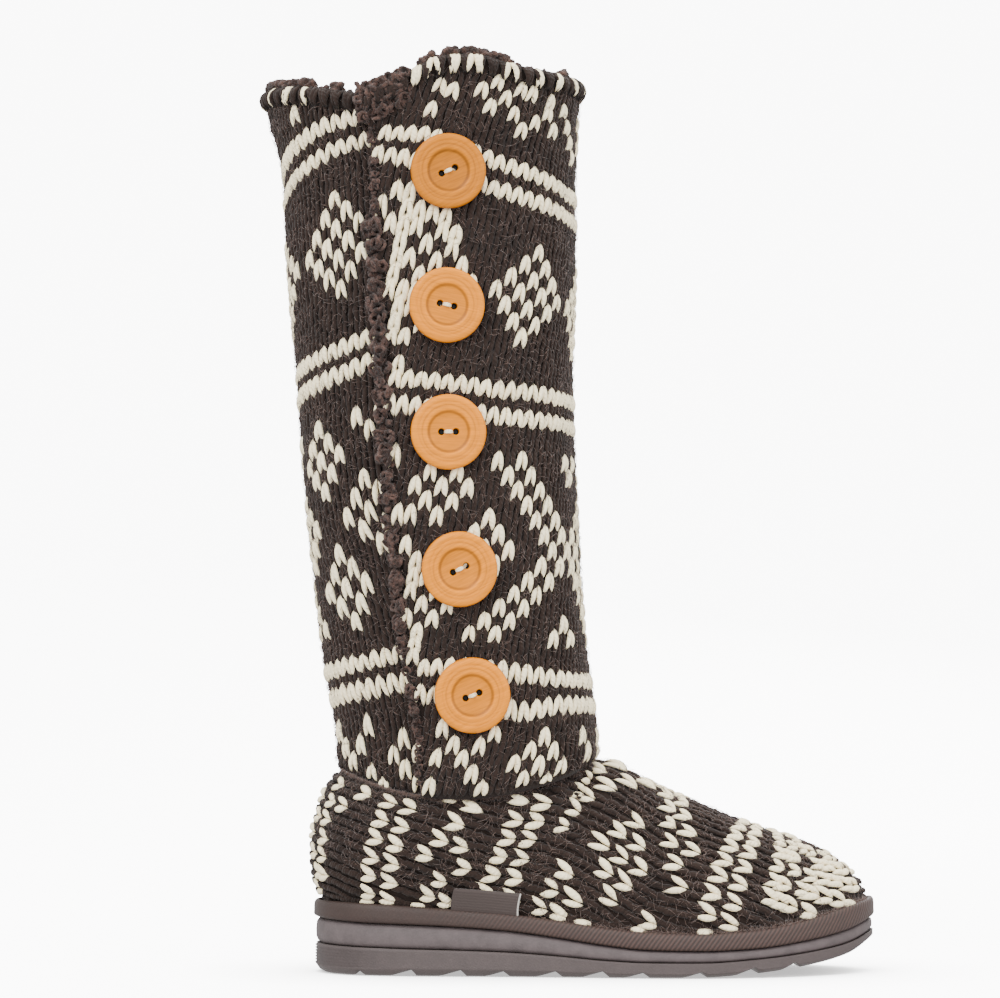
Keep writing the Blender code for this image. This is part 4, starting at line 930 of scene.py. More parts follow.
def material_for(kind):
    """Each finish once, made from the colours on the scene."""
    if kind in MATERIALS:
        return MATERIALS[kind]
    colours = bpy.context.scene.boot_colours
    rib = bpy.context.scene.boot_sizes.rib_pitch
    recipes = {
        "dark": lambda: wool("brown_spun_wool", colours.dark_yarn, 0.66, 0.95, 0.06),
        "cream": lambda: wool("undyed_spun_wool", colours.cream_yarn, 0.14, 0.90, 0.08),
        # Backing between the stitches: the dark yarn's own colour, made a fifth darker as painted shade in
        # the gaps.
        "backing": lambda: wool("brown_wool_backing_painted_gap_shade",
                                [c * 0.80 for c in colours.dark_yarn], 0.45, 0.98, 0.06, ply=False),
        "stray": lambda: wool("stray_wool_fibre",
                              [c * 6.5 for c in colours.dark_yarn], 0.40, 0.90, 0.30, ply=False),
        "fleece": lambda: curly_fleece("sheared_curly_fleece_painted_shade", colours.fleece),
        "rand": lambda: moulded_rubber("moulded_rand_rubber", colours.rand, 0.14, 0.60, rib),
        "midsole": lambda: moulded_rubber("moulded_midsole_rubber", colours.midsole, 0.22, 0.68),
        "outsole": lambda: moulded_rubber("moulded_tread_rubber", colours.outsole, 0.12, 0.62),
        "wood": lambda: turned_wood("turned_oiled_hardwood_painted_shade", colours.wood, 1.0),
        "wood_dark": lambda: turned_wood("turned_darker_hardwood_painted_shade", colours.wood, 0.72),
        "tape": lambda: woven_tape("woven_label_tape", colours.cloth),
    }
    MATERIALS[kind] = recipes[kind]()
    return MATERIALS[kind]


# Pieces.
def sheet_limits(turn):
    """Foot and rim of the shaft's sheet at a turn."""
    low = seam_height(turn) + 2 * GAP + FRONT_CLEARANCE * np.clip(np.cos(np.radians(turn)), 0, 1)
    return low, BOOT_HEIGHT * column(RIM, 1, turn)


def sheet_grid(turns, levels, short):
    """Turns, shares of the height and heights of a grid on the sheet, so far short of its rim."""
    turn = np.linspace(FLAP_EDGE, UNDERLAP_END, turns)[:, None]
    low, high = sheet_limits(turn)
    share = np.linspace(0.0, 1.0, levels)[None, :]
    return turn + 0 * share, share, low + share * (high - short - low)


class BOOT_OT_shaft_wall(bpy.types.Operator):
    """Shaft's backing cloth and the fleece inside it"""
    bl_idname = "boot.shaft_wall"
    bl_label = "Shaft wall"

    def execute(self, context):
        depth = context.scene.boot_sizes.backing_depth
        turn, share, height = sheet_grid(240, 48, 0.003)
        ends = np.clip(np.minimum(turn - UNDERLAP_END, FLAP_EDGE - turn) / 1.5, 0, 1) ** 0.5
        pinch = 0.0012 * (1 - ends) + 0.0008 * (share < 0.01)
        outer = shaft_point(turn, height, flap_lift(turn) - depth - pinch)
        middle = shaft_point(turn, height, flap_lift(turn) - 0.0030)
        make_piece("shaft_backing", *shell(outer, middle), "backing", "knit_yarn", ("shaft",))
        turn, _, height = sheet_grid(250, 72, 0.002)
        a, h = np.radians(turn), height * 1000
        lump = (np.sin(a * 97 + 2.1 * np.sin(h * 0.31)) * np.sin(h * 1.25 + 1.7 * np.sin(a * 31))
                + 0.6 * np.sin(a * 61 + h * 0.9) * np.sin(h * 0.7 - a * 47))
        inner = shaft_point(turn, height, flap_lift(turn) - KNIT_WALL + 0.0004 + 0.0007 * lump)
        outer = shaft_point(turn, height, flap_lift(turn) - 0.0026)
        make_piece("shaft_fleece", *shell(outer, inner), "fleece", "curly_fleece", ("shaft",))
        return {"FINISHED"}


def above_seam(legs):
    """The same legs with no point below the shaft's foot."""
    turned = []
    for points in legs[:3]:
        angle = np.degrees(np.arctan2(-points[:, 1], points[:, 0] - 0.035))
        floor = seam_height(angle) + 0.0010
        turned.append(np.column_stack([points[:, :2], np.maximum(points[:, 2], floor)]))
    return turned + legs[3:]


def shaft_stitches(kind):
    """Centres and directions of every stitch of one panel that shows below the rim."""
    panel = Panel(kind)
    cols = np.arange(-32, 22) if kind == "front" else np.arange(-2, 34)
    rows, cols = np.meshgrid(np.arange(0, 54), cols, indexing="ij")
    row, col = rows.ravel().astype(float), cols.ravel().astype(float)
    centre, out, turn = panel.where(row, col)
    above, below, left, right = (panel.where(row + down, col + along)[0]
                                 for down, along in ((-0.5, 0), (0.5, 0), (0, -0.5), (0, 0.5)))
    low, high = sheet_limits(turn)
    if kind == "front":
        inside = (turn < FLAP_EDGE - 1.4) & (turn > PANEL_JOIN)
    else:
        inside = (turn <= PANEL_JOIN) & (turn > -257.0)
    inside &= (centre[:, 2] < high - 0.0085) & (centre[:, 2] > low - 0.0014)
    inside &= np.linalg.norm(right - left, axis=1) > 0.004
    cream = shaft_chart(row.astype(int), col.astype(int), kind)
    # Stitches by the ankle seam tuck inward.
    tuck = np.clip(1.0 - (centre[:, 2] - low) / 0.007, 0.0, 1.0)
    centre = centre - out * (0.0016 * tuck)[:, None]
    keep = lambda pick: [thing[pick] for thing in (centre, above - below, right - left, out)]
    return keep(inside & cream), keep(inside & ~cream)


class BOOT_OT_shaft_knit(bpy.types.Operator):
    """Every stitch of the shaft, charted in rows and columns"""
    bl_idname = "boot.shaft_knit"
    bl_label = "Shaft knit"

    def execute(self, context):
        width = context.scene.boot_sizes.leg_half_width
        dark_width = width * context.scene.boot_sizes.dark_share
        creams = []
        for kind, seed in (("front", 11), ("rear", 12)):
            chance = np.random.default_rng(seed)
            cream, dark = shaft_stitches(kind)
            legs = above_seam(leg_pairs(*cream, width, width * 0.85, chance))
            creams.append(strands(*legs, power=0.75))
            dark[0] = dark[0] + dark[3] * chance.uniform(-0.0004, 0.0001, (len(dark[0]), 1))
            legs = leg_pairs(*dark, dark_width, width * 0.60, chance,
                             reach=(1.02, -0.92), spread=(0.10, 0.26, 0.31), sink=0.0009, crown=0.0001)
            make_joined(f"shaft_knit_dark_{kind}", [strands(*above_seam(legs), rings=3, power=0.6)],
                        "dark", ("shaft",))
        make_joined("shaft_knit_cream", creams, "cream", ("shaft",))
        return {"FINISHED"}


def rim_frame(turn, radius):
    """Centre of the rolled rim, its outward way and its way along."""
    _, high = sheet_limits(turn)
    centre = shaft_point(turn, high - radius, flap_lift(turn) - 0.0021)
    ahead = unit(np.gradient(centre, axis=0))
    flat = unit(np.cross(ahead, np.array([0.0, 0.0, 1.0])))
    return centre, -flat if np.sum(flat[:, 0] * np.cos(np.radians(turn))) < 0 else flat, ahead


class BOOT_OT_rim(bpy.types.Operator):
    """Rolled collar: a bolster round the rim with its stitches laid over the top"""
    bl_idname = "boot.rim"
    bl_label = "Rolled rim"

    def execute(self, context):
        radius = context.scene.boot_sizes.rim_radius
        place = np.arange(RIM_STEPS)
        turn = np.linspace(FLAP_EDGE - 0.6, UNDERLAP_END + 0.6, RIM_STEPS)
        centre, out, ahead = rim_frame(turn, radius)
        up = np.array([0.0, 0.0, 1.0])
        angle = np.arange(RIM_SIDES) * 2 * np.pi / RIM_SIDES
        ends = np.clip(np.minimum(place, place[::-1]) / 3.0, 0.02, 1.0) ** 0.5
        wobble = 1.0 + 0.07 * np.sin(np.radians(turn) * 41) * np.sin(np.radians(turn) * 13)
        size = ((radius - 0.0009) * ends * wobble)[:, None]
        ring = (centre[:, None] + (size * 0.72 * np.cos(angle))[..., None] * out[:, None]
                + (size * np.sin(angle))[..., None] * up)
        verts = np.concatenate([ring.reshape(-1, 3), centre[:1], centre[-1:]])
        tip = RIM_STEPS * RIM_SIDES
        caps = np.concatenate([fan(RIM_SIDES, 0, tip), fan(RIM_SIDES, tip - RIM_SIDES, tip + 1, True)])
        make_piece("rim_bolster", verts, [quads(RIM_STEPS, RIM_SIDES, close_v=True), caps],
                   "backing", "knit_yarn", ("shaft",))
        chance = np.random.default_rng(21)
        step = np.linalg.norm(np.diff(centre, axis=0), axis=1)
        arc = np.concatenate(([0.0], np.cumsum(step)))
        marks = np.arange(0.0015, arc[-1] - 0.0015, FRONT_COLUMN_MM * MM / 4)
        where = np.interp(marks, arc, place)
        pick = lambda data: np.stack([np.interp(where, place, data[:, k]) for k in range(3)], axis=1)
        spot, way, on = pick(centre), unit(pick(out)), unit(pick(ahead))
        hand = np.where(np.arange(len(marks)) // 2 % 2, 1.0, -1.0)[:, None] * 0.0011
        shown = np.interp(marks, arc, turn)
        cream = np.min(np.abs(shown[:, None] - np.array(RIM_CREAM)), axis=1) < 1.2
        near = spot + way * radius * 0.55 - up * radius * 1.00 + on * hand * 1.8
        crest = spot + way * radius * 0.92 + up * radius * 0.15 + on * hand
        over = spot + way * radius * 0.05 + up * radius * 1.02 - on * hand * 0.6
        back = spot - way * radius * 0.85 + up * radius * 0.10 + on * hand * 0.2
        foot = spot - way * radius * 0.55 - up * radius * 1.00 + on * hand
        groups = {True: [], False: []}
        for first, second, third, face_way in ((near, crest, over, way + up * 0.5),
                                               (over, back, foot, up * 0.5 - way)):
            shake = chance.normal(0.0, 0.00030, second.shape)
            for tone in (True, False):
                choose = cream == tone
                size = np.full(choose.sum(), 0.00150 if tone else 0.00125)
                groups[tone].append(strands(first[choose], (second + shake)[choose], third[choose],
                                            unit(face_way)[choose], size, size * 0.8, rings=4, power=0.5))
        for tone, name, kind in ((True, "rim_knit_cream", "cream"), (False, "rim_knit_dark", "dark")):
            make_joined(name, groups[tone], kind, ("shaft",))
        return {"FINISHED"}


class BOOT_OT_foot_wall(bpy.types.Operator):
    """Foot part's backing cloth and the fleece inside it, one closed wall per side"""
    bl_idname = "boot.foot_wall"
    bl_label = "Foot wall"

    def execute(self, context):
        depth = context.scene.boot_sizes.backing_depth
        stations, rows = 150, 36
        walls = foot_walls(stations, rows)
        lip = np.clip(np.arange(rows) / 2.0, 0.0, 1.0)[None, :, None]
        wave = np.sin(np.arange(stations) * 1.15)[:, None] * np.sin(np.arange(rows) * 1.7)[None, :]
        backs, linings = [], []
        for side, way in (("outer", 1), ("inner", -1)):
            grid, normal = walls[side]
            near = grid - normal * depth * lip
            far = grid - normal * 0.0030
            middle = grid - normal * 0.0028
            inner = grid - normal * (KNIT_WALL - 0.0004 - 0.0007 * wave)[..., None]
            for group, one, other in ((backs, near, far), (linings, middle, inner)):
                verts, faces = shell(one[::way], other[::way])
                group.append((verts, faces, np.zeros((len(verts), 2))))
        for name, group, kind, slot in (("foot_backing", backs, "backing", "knit_yarn"),
                                        ("foot_fleece", linings, "fleece", "curly_fleece")):
            verts, faces, _ = join(group)
            make_piece(name, verts, faces, kind, slot, ("upper",))
        return {"FINISHED"}


class FootMap:
    """Finds a place on the foot part from its course and wale, by arc length down each section."""

    def __init__(self, side):
        self.stations = 360
        grid, normal = foot_walls(self.stations, 72)[side]
        self.grid, self.normal = grid[:, 1:], normal[:, 1:]
        self.normal[:, :4] = self.normal[:, 4:5]
        step = np.linalg.norm(np.diff(self.grid, axis=1), axis=2)[:, ::-1]
        arc = np.concatenate([np.zeros((self.stations, 1)), np.cumsum(step, axis=1)], axis=1)
        self.arc = arc[:, ::-1] * 1000

    def where(self, course, wale):
        """Point, normal, arc from the top and arc left to the lip."""
        course = np.asarray(course, float)
        guide = lambda k: np.interp(course, COURSE_GUIDES[:, 0], COURSE_GUIDES[:, k])
        place = (guide(1) + guide(2) * (wale - 7)) * (self.stations - 1)
        place = np.clip(place, 0, self.stations - 1.001)
        height = guide(3) + guide(4) * (7 - wale)
        low = place.astype(int)
        part = (place - low)[:, None]
        row, arc, total = np.zeros_like(height), np.zeros_like(height), np.zeros_like(height)
        for k in np.unique(low):
            pick = low == k
            blend = part[pick].mean()
            line = self.arc[k] * (1 - blend) + self.arc[k + 1] * blend
            arc[pick] = line[0] - height[pick]
            row[pick] = np.interp(arc[pick], line[::-1], np.arange(line.size)[::-1])
            total[pick] = line[0]
        row = np.clip(row, 0, self.grid.shape[1] - 1.001)
        base = row.astype(int)
        share = (row - base)[:, None]

        def blend(data):
            return ((data[low, base] * (1 - share) + data[low, base + 1] * share) * (1 - part)
                    + (data[low + 1, base] * (1 - share) + data[low + 1, base + 1] * share) * part)

        return blend(self.grid), unit(blend(self.normal)), arc, total, place / (self.stations - 1)


class BOOT_OT_foot_knit(bpy.types.Operator):
    """Every stitch of the foot part, its courses running up the wall and its wales to the toe"""
    bl_idname = "boot.foot_knit"
    bl_label = "Foot knit"

    def execute(self, context):
        width = context.scene.boot_sizes.leg_half_width * 1.20
        course, wale = np.meshgrid(np.arange(-10, 48), np.arange(-3, 16), indexing="ij")
        course, wale = course.ravel().astype(float), wale.ravel().astype(float)
        cream = foot_chart(course.astype(int), wale.astype(int))
        creams = []
        for side, seed in (("outer", 31), ("inner", 32)):
            chance = np.random.default_rng(seed)
            chart = FootMap(side)
            centre, out, arc, total, share = chart.where(course, wale)
            front, rear, upper, lower = (chart.where(course + on, wale + down)[0]
                                         for on, down in ((0.5, 0), (-0.5, 0), (0, -0.5), (0, 0.5)))
            inside = (arc > -1.0) & (arc < total + 3.5)
            inside &= np.linalg.norm(front - rear, axis=1) > 0.0012
            # None lie under the label.
            labelled = (centre[:, 0] > along_x(LABEL_ALONG[0])) & (centre[:, 0] < along_x(LABEL_ALONG[1]))
            inside &= ~(labelled & (total - arc < LABEL_HEIGHT / MM - 3.5) & (side == "outer"))
            ahead = front - rear
            ahead = unit(ahead) * np.clip(np.linalg.norm(ahead, axis=1), 0.0040, 0.0058)[:, None]
            low_room = np.clip((total - arc + 2.0) / 5.0, 0.30, 1.0)[:, None]
            ankle = np.where(share < 0.43, np.clip(arc / 6.0, 0.35, 1.0), 1.0)[:, None]
            across = (lower - upper) * np.minimum(low_room, ankle)
            keep = lambda pick: [thing[pick] for thing in (centre, ahead, across, out)]
            legs = leg_pairs(*keep(inside & cream), width, width * 0.75, chance,
                             reach=(1.00, -1.08), spread=(0.04, 0.23, 0.38))
            creams.append(strands(*legs, power=0.75))
            legs = leg_pairs(*keep(inside & ~cream), width * 1.02, width * 0.60, chance,
                             reach=(1.0, -0.96), spread=(0.12, 0.25, 0.30), sink=0.0009, crown=-0.0002)
            make_joined(f"foot_knit_dark_{side}", [strands(*legs, rings=3, power=0.6)], "dark", ("upper",))
        make_joined("foot_knit_cream", creams, "cream", ("upper",))
        return {"FINISHED"}


def curls(centre, out, size, chance):
    """Small knobbly blobs: for each curl, four rings of seven points and two poles on a sphere,
    all shaken in and out."""
    count = len(centre)
    lat = np.linspace(-np.pi / 2, np.pi / 2, 6)[1:-1]
    lon = np.arange(7) * 2 * np.pi / 7
    ball = np.stack([np.outer(np.cos(lat), np.cos(lon)), np.outer(np.cos(lat), np.sin(lon)),
                     np.outer(np.sin(lat), np.ones(7))], axis=-1).reshape(-1, 3)
    ball = np.vstack([ball, (0.0, 0.0, -1.0), (0.0, 0.0, 1.0)])
    side = unit(np.cross(out, chance.normal(size=out.shape)))
    other = np.cross(out, side)
    scale = size[:, None] * chance.uniform(0.7, 1.3, (count, 3)) * (1.0, 1.0, 0.8)
    local = ball[None] * scale[:, None] * chance.uniform(0.75, 1.25, (count, len(ball), 1))
    verts = (centre[:, None] + local[..., :1] * side[:, None] + local[..., 1:2] * other[:, None]
             + local[..., 2:] * out[:, None])
    belt = quads(4, 7, close_v=True)[:, ::-1]
    faces = copies((belt, fan(7, 0, 28, True), fan(7, 21, 29)), count, len(ball))
    return verts, faces, np.zeros((count, len(ball), 2))


def loops(centre, axis, radius, tube, chance):
    """Open-middled curls: a ring of 9 by 4 round each axis, its radius shaken from place to
    place and its plane bent a little."""
    count = len(centre)
    side = unit(np.cross(axis, chance.normal(size=axis.shape)))
    other = np.cross(axis, side)
    about = np.arange(9) * 2 * np.pi / 9
    round_ = np.arange(4) * 2 * np.pi / 4 + 0.4
    swing = radius[:, None] * chance.uniform(0.72, 1.25, (count, 9))
    thick = tube[:, None] * chance.uniform(0.75, 1.25, (count, 9))
    lift = radius[:, None] * chance.uniform(-0.35, 0.35, (count, 9))
    reach = swing[..., None] + thick[..., None] * np.cos(round_)
    rise = lift[..., None] + thick[..., None] * np.sin(round_)
    verts = (centre[:, None, None]
             + (reach * np.cos(about)[None, :, None])[..., None] * side[:, None, None]
             + (reach * np.sin(about)[None, :, None])[..., None] * other[:, None, None]
             + rise[..., None] * axis[:, None, None])
    belt = quads(9, 4, close_u=True, close_v=True)
    return verts, copies((belt,), count, 36), np.zeros((count, 36, 2))


class BOOT_OT_fleece_edges(bpy.types.Operator):
    """Fleece that shows past the knit: along the flap's edge and inside the rim"""
    bl_idname = "boot.fleece_edges"
    bl_label = "Fleece edges"

    def execute(self, context):
        size = context.scene.boot_sizes.curl_size
        chance = np.random.default_rng(41)
        low, high = sheet_limits(np.array([FLAP_EDGE]))
        low, high = float(low[0]), float(high[0])
        heights = (0.08, 0.10, 0.14, 0.20, 0.30, 0.335, 0.350, 0.40)
        swells = (0.4, 0.5, 0.75, 0.9, 1.1, 0.95, 0.5, 0.6)
        groups = []
        # Bunches of curls every 9 to 10 mm down the edge, over a bed of small knobs.
        count = 430
        height = chance.uniform(low + 0.003, high - 0.003, count)
        swell = np.interp(height, heights, swells)
        reach = np.interp(height, (0.09, 0.20, 0.328, 0.345), (1.0, 1.2, 1.8, 1.2))
        past = np.interp(height, (0.09, 0.12, 0.18, 0.335, 0.350), (0.8, 1.6, 3.0, 4.2, 1.6))
        turn = FLAP_EDGE + past - chance.uniform(0.0, 1.0, count) * (reach + past)
        offset = FLAP_LIFT - chance.uniform(0.0, 0.0034, count)
        past_edge = FLAP_LIFT - chance.uniform(0.0004, 0.0040, count)
        offset = np.where(turn > FLAP_EDGE - 0.5, past_edge, offset)
        spot = shaft_point(turn, height, offset)
        _, out = shaft_frame(turn, height)
        groups.append(curls(spot, out, size * swell * 0.62, chance))
        count = 240
        height = chance.uniform(low + 0.004, high - 0.002, count)
        height += 0.0016 * np.sin(height * 2 * np.pi / 0.0094)
        swell = np.interp(height, heights, swells)
        reach = np.interp(height, (0.09, 0.20, 0.328, 0.345), (0.8, 1.2, 2.0, 1.0))
        past = np.interp(height, (0.09, 0.12, 0.18, 0.335, 0.350), (0.8, 1.8, 3.3, 4.6, 1.8))
        turn = FLAP_EDGE + past - chance.uniform(0.0, 1.0, count) * (reach + past)
        crest = np.clip((FLAP_EDGE + past - turn) / (reach + past), 0, 1)
        crown = 0.0006 + 0.0016 * swell * np.sin(crest * np.pi)
        spot = shaft_point(turn, height, FLAP_LIFT + crown - np.clip(turn - FLAP_EDGE, 0, 5) * 0.0006)
        _, out = shaft_frame(turn, height)
        edge_way = unit(shaft_point(turn + 1.0, height, FLAP_LIFT) - shaft_point(turn, height, FLAP_LIFT))
        axis = unit(out + edge_way * chance.uniform(-0.2, 0.9, (count, 1))
                    + chance.normal(0, 0.35, (count, 3)))
        groups.append(loops(spot, axis, size * swell * 0.80, size * swell * 0.36, chance))
        # Inside the rim, and peeping over it.
        count = 900
        turn = chance.uniform(UNDERLAP_END + 2, FLAP_EDGE - 1, count)
        _, high = sheet_limits(turn)
        drop = chance.uniform(-0.0002, 0.009, count)
        spot = shaft_point(turn, high - drop,
                           flap_lift(turn) - KNIT_WALL - chance.uniform(-0.0016, 0.0004, count))
        _, out = shaft_frame(turn, high - drop)
        groups.append(curls(spot, -out, np.full(count, size * 0.62), chance))
        # Tuft where the flap's edge meets the rim.
        count = 170
        tuft_turn = FLAP_EDGE + chance.uniform(-15.0, 3.0, count)
        _, tuft_high = sheet_limits(tuft_turn)
        spot = shaft_point(tuft_turn, tuft_high + chance.uniform(-0.013, 0.0016, count),
                           flap_lift(tuft_turn) + chance.uniform(-0.0045, 0.0016, count))
        _, out = shaft_frame(tuft_turn, tuft_high)
        axis = unit(out + chance.normal(0, 0.5, (count, 3)))
        groups.append(loops(spot, axis, np.full(count, size * 0.74), np.full(count, size * 0.34), chance))
        peaks = np.array([88.0, 80.0, 73.0, 66.0, 60.0, 27.0, -238.0, -222.0, -212.0, -205.0, -196.0, -188.0])
        peak = np.repeat(peaks, 12) + chance.uniform(-2.4, 2.4, len(peaks) * 12)
        _, peak_high = sheet_limits(peak)
        spot = shaft_point(peak, peak_high + chance.uniform(-0.0012, 0.0022, len(peak)),
                           flap_lift(peak) - chance.uniform(0.0018, 0.0045, len(peak)))
        groups.append(curls(spot, np.tile((0.0, 0.0, 1.0), (len(peak), 1)),
                            np.full(len(peak), size * 0.8), chance))
        make_joined("fleece_curls", groups, "fleece", ("shaft",), "curly_fleece")
        return {"FINISHED"}


class BOOT_OT_stray_fibres(bpy.types.Operator):
    """Fine loose fibres standing off the knit"""
    bl_idname = "boot.stray_fibres"
    bl_label = "Stray fibres"

    def execute(self, context):
        chance = np.random.default_rng(51)
        count = 20000
        turn = chance.uniform(-255.0, FLAP_EDGE, count)
        low, high = sheet_limits(turn)
        height = low + chance.uniform(0.01, 0.985, count) * (high - low)
        spot, out = shaft_frame(turn, height)
        groups = []
        for points, ways in ((spot, out), self.foot_spots("outer", 5500, chance),
                             self.foot_spots("inner", 5500, chance)):
            number = len(points)
            along = unit(np.cross(ways, chance.normal(size=points.shape)))
            length = chance.uniform(0.0025, 0.0075, (number, 1))
            start = points - ways * 0.0003 - along * length * 0.5
            middle = points + ways * chance.uniform(0.0006, 0.0016, (number, 1))
            end = (points + along * length * 0.5
                   + ways * chance.uniform(-0.0004, 0.0022, (number, 1)))
            wide = chance.uniform(0.00006, 0.00012, number)
            groups.append(strands(start, middle, end, ways, wide, wide, rings=1, sides=3))
        make_joined("stray_fibres", groups, "stray", ("shaft", "upper"))
        return {"FINISHED"}

    @staticmethod
    def foot_spots(side, count, chance):
        """Random places on one side of the foot part."""
        chart = FootMap(side)
        return chart.where(chance.uniform(-9, 47, count), chance.uniform(0, 11, count))[:2]


# Shares along each side of the sole: even, closer at the ends.
EVEN_SHARES = np.linspace(0.0, 1.0, 150)
SOLE_SHARES = EVEN_SHARES - 0.075 * np.sin(2 * math.pi * EVEN_SHARES)


def sole_loop(inset):
    """One closed ring of the sole's edge: outer side heel to toe, then inner side back."""
    outer, outer_way = edge_points("outer", SOLE_SHARES)
    inner, inner_way = edge_points("inner", SOLE_SHARES)
    depth = inset if callable(inset) else lambda x: inset
    outer, inner = outer - outer_way * depth(outer[:, :1]), inner - inner_way * depth(inner[:, :1])
    return np.vstack([outer, inner[-2:0:-1]])


def sole_rings(levels):
    """Closed rings of the sole's edge, one for each (inset, height function)."""
    rings = []
    for inset, height in levels:
        loop = sole_loop(inset)
        rings.append(np.column_stack([loop, height(loop[:, 0])]))
    return np.array(rings)


def tread_height(x):
    """Underside of the tread: rises toward the toe along each notch, then drops upright."""
    base = sole_height(TREAD, x)
    lift = np.zeros_like(x)
    for along, slope in NOTCHES:
        front, back = along_x(along), along_x(along - slope)
        inside = (x >= back) & (x <= front)
        lift = np.where(inside, TREAD_DEPTH * (x - back) / (front - back), lift)
    return base + lift


def between(low, high, share):
    """Height function of the given share of the way from one line of the sole's side to another."""
    return lambda x: sole_height(low, x) + share * (sole_height(high, x) - sole_height(low, x))


def above_tread(share, gap):
    """Height function on the tread's side, at least the gap above its underside."""
    return lambda x: np.maximum(between(TREAD, BAND_FOOT, share)(x), tread_height(x) + gap)


def heel_ridge(wave):
    """Inset of the tread's side: seven moulded ridges at the heel that fade out by the second
    notch."""
    return lambda x: 0.0007 + 0.0008 * wave * np.clip((0.012 - x) / 0.020, 0.0, 1.0)


def sole_slab(name, levels, kind, slot, node, bottom=None):
    """Solid stacked from closed rings of the sole's edge and capped across in strips, with the
    lower cap's heights given by its own function where there is one."""
    ring = sole_rings(levels)
    level, count = ring.shape[:2]
    half, across = len(SOLE_SHARES), 9
    t = np.linspace(0.0, 1.0, across)[None, :, None]
    off_edge = (t[..., 0] > 0) & (t[..., 0] < 1)
    grid = quads(half, across)
    verts = [ring.reshape(-1, 3)]
    faces = [quads(level, count, close_v=True)[:, ::-1]]
    for which in (0, level - 1):
        outer = ring[which, :half]
        inner = np.vstack([ring[which, :1], ring[which, half:][::-1], ring[which, half - 1:half]])
        cap = outer[:, None] * (1 - t) + inner[:, None] * t
        if which == 0 and bottom is not None:
            cap[..., 2] = np.where(off_edge, bottom(cap[..., 0]), cap[..., 2])
        faces.append((grid if which else grid[:, ::-1]) + sum(len(part) for part in verts))
        verts.append(cap.reshape(-1, 3))
    verts = np.concatenate(verts)
    pair = np.zeros((len(verts), 2))
    pair[:level * count, 0] = np.tile(ring[0, :, 0], level)
    pair[:level * count, 1] = verts[:level * count, 2]
    make_piece(name, verts, faces, kind, slot, (node,), pair)


class BOOT_OT_sole(bpy.types.Operator):
    """Rubber sole: notched tread with moulded heel ridges, middle band, ribbed rand, insole"""
    bl_idname = "boot.sole"
    bl_label = "Sole"

    def execute(self, context):
        levels = [(0.0046, tread_height), (0.0026, above_tread(0.06, 0.0003)),
                  (0.0012, above_tread(0.20, 0.0006))]
        levels += [(heel_ridge(k % 2), above_tread(0.26 + 0.68 * k / 13, 0.0008)) for k in range(14)]
        levels.append((0.0014, between(TREAD, BAND_FOOT, 0.985)))
        sole_slab("outsole_rubber_tread", levels, "outsole", "outsole_rubber", "outsole", tread_height)
        levels = [(inset, between(BAND_FOOT, RAND_FOOT, share)) for inset, share in (
            (0.0030, 0.01), (0.0020, 0.07), (0.0012, 0.22), (0.0011, 0.50), (0.0014, 0.80),
            (0.0024, 0.93), (0.0034, 0.985))]
        sole_slab("midsole_band", levels, "midsole", "midsole_rubber", "midsole")
        self.rand()
        self.insole()
        return {"FINISHED"}

    def rand(self):
        """Strip round the knit: one rounded section swept round the outline."""
        rise = lambda share: (lambda x: sole_height(RAND_FOOT, x) + 0.00015
                              + share * (sole_height(RAND_TOP, x) - sole_height(RAND_FOOT, x)))
        section = ((0.0014, 0.00), (0.0004, 0.05), (0.0000, 0.14), (0.0001, 0.35), (0.0001, 0.60),
                   (0.0003, 0.80), (0.0008, 0.92), (0.0015, 0.985), (0.0023, 0.985), (0.0029, 0.94),
                   (RAND_WALL, 0.84), (RAND_WALL, 0.40), (RAND_WALL, 0.02), (0.0022, 0.00))
        ring = sole_rings([(inset, rise(share)) for inset, share in section])
        faces = quads(len(section), ring.shape[1], close_u=True, close_v=True)[:, ::-1]
        step = np.linalg.norm(np.diff(ring[2, :, :2], axis=0, append=ring[2, :1, :2]), axis=1)
        half = ring.shape[1] // 2
        run = np.concatenate(([0.0], np.cumsum(step)[:-1]))
        run = np.where(np.arange(len(run)) <= half, run, step.sum() - run)
        pair = np.stack([np.broadcast_to(run, ring.shape[:2]), ring[..., 2]], axis=-1)
        make_piece("rand_ribbed", ring.reshape(-1, 3), [faces], "rand", "rand_rubber", ("rand",), pair)

    def insole(self):
        """Fleece footbed: a slab inside the knit with a softly lumpy top."""
        board = RAND_TO_KNIT + KNIT_WALL + 2 * GAP
        low = lambda x: sole_height(RAND_FOOT, x) + GAP / 2
        top = lambda x: low(x) + INSOLE_THICKNESS + 0.0003 * np.sin(x * 2900)
        levels = [(board + 0.0006, low), (board, lambda x: low(x) + 0.0006),
                  (board, lambda x: low(x) + INSOLE_THICKNESS - 0.0008), (board + 0.0012, top)]
        sole_slab("insole_fleece", levels, "fleece", "curly_fleece", "insole")


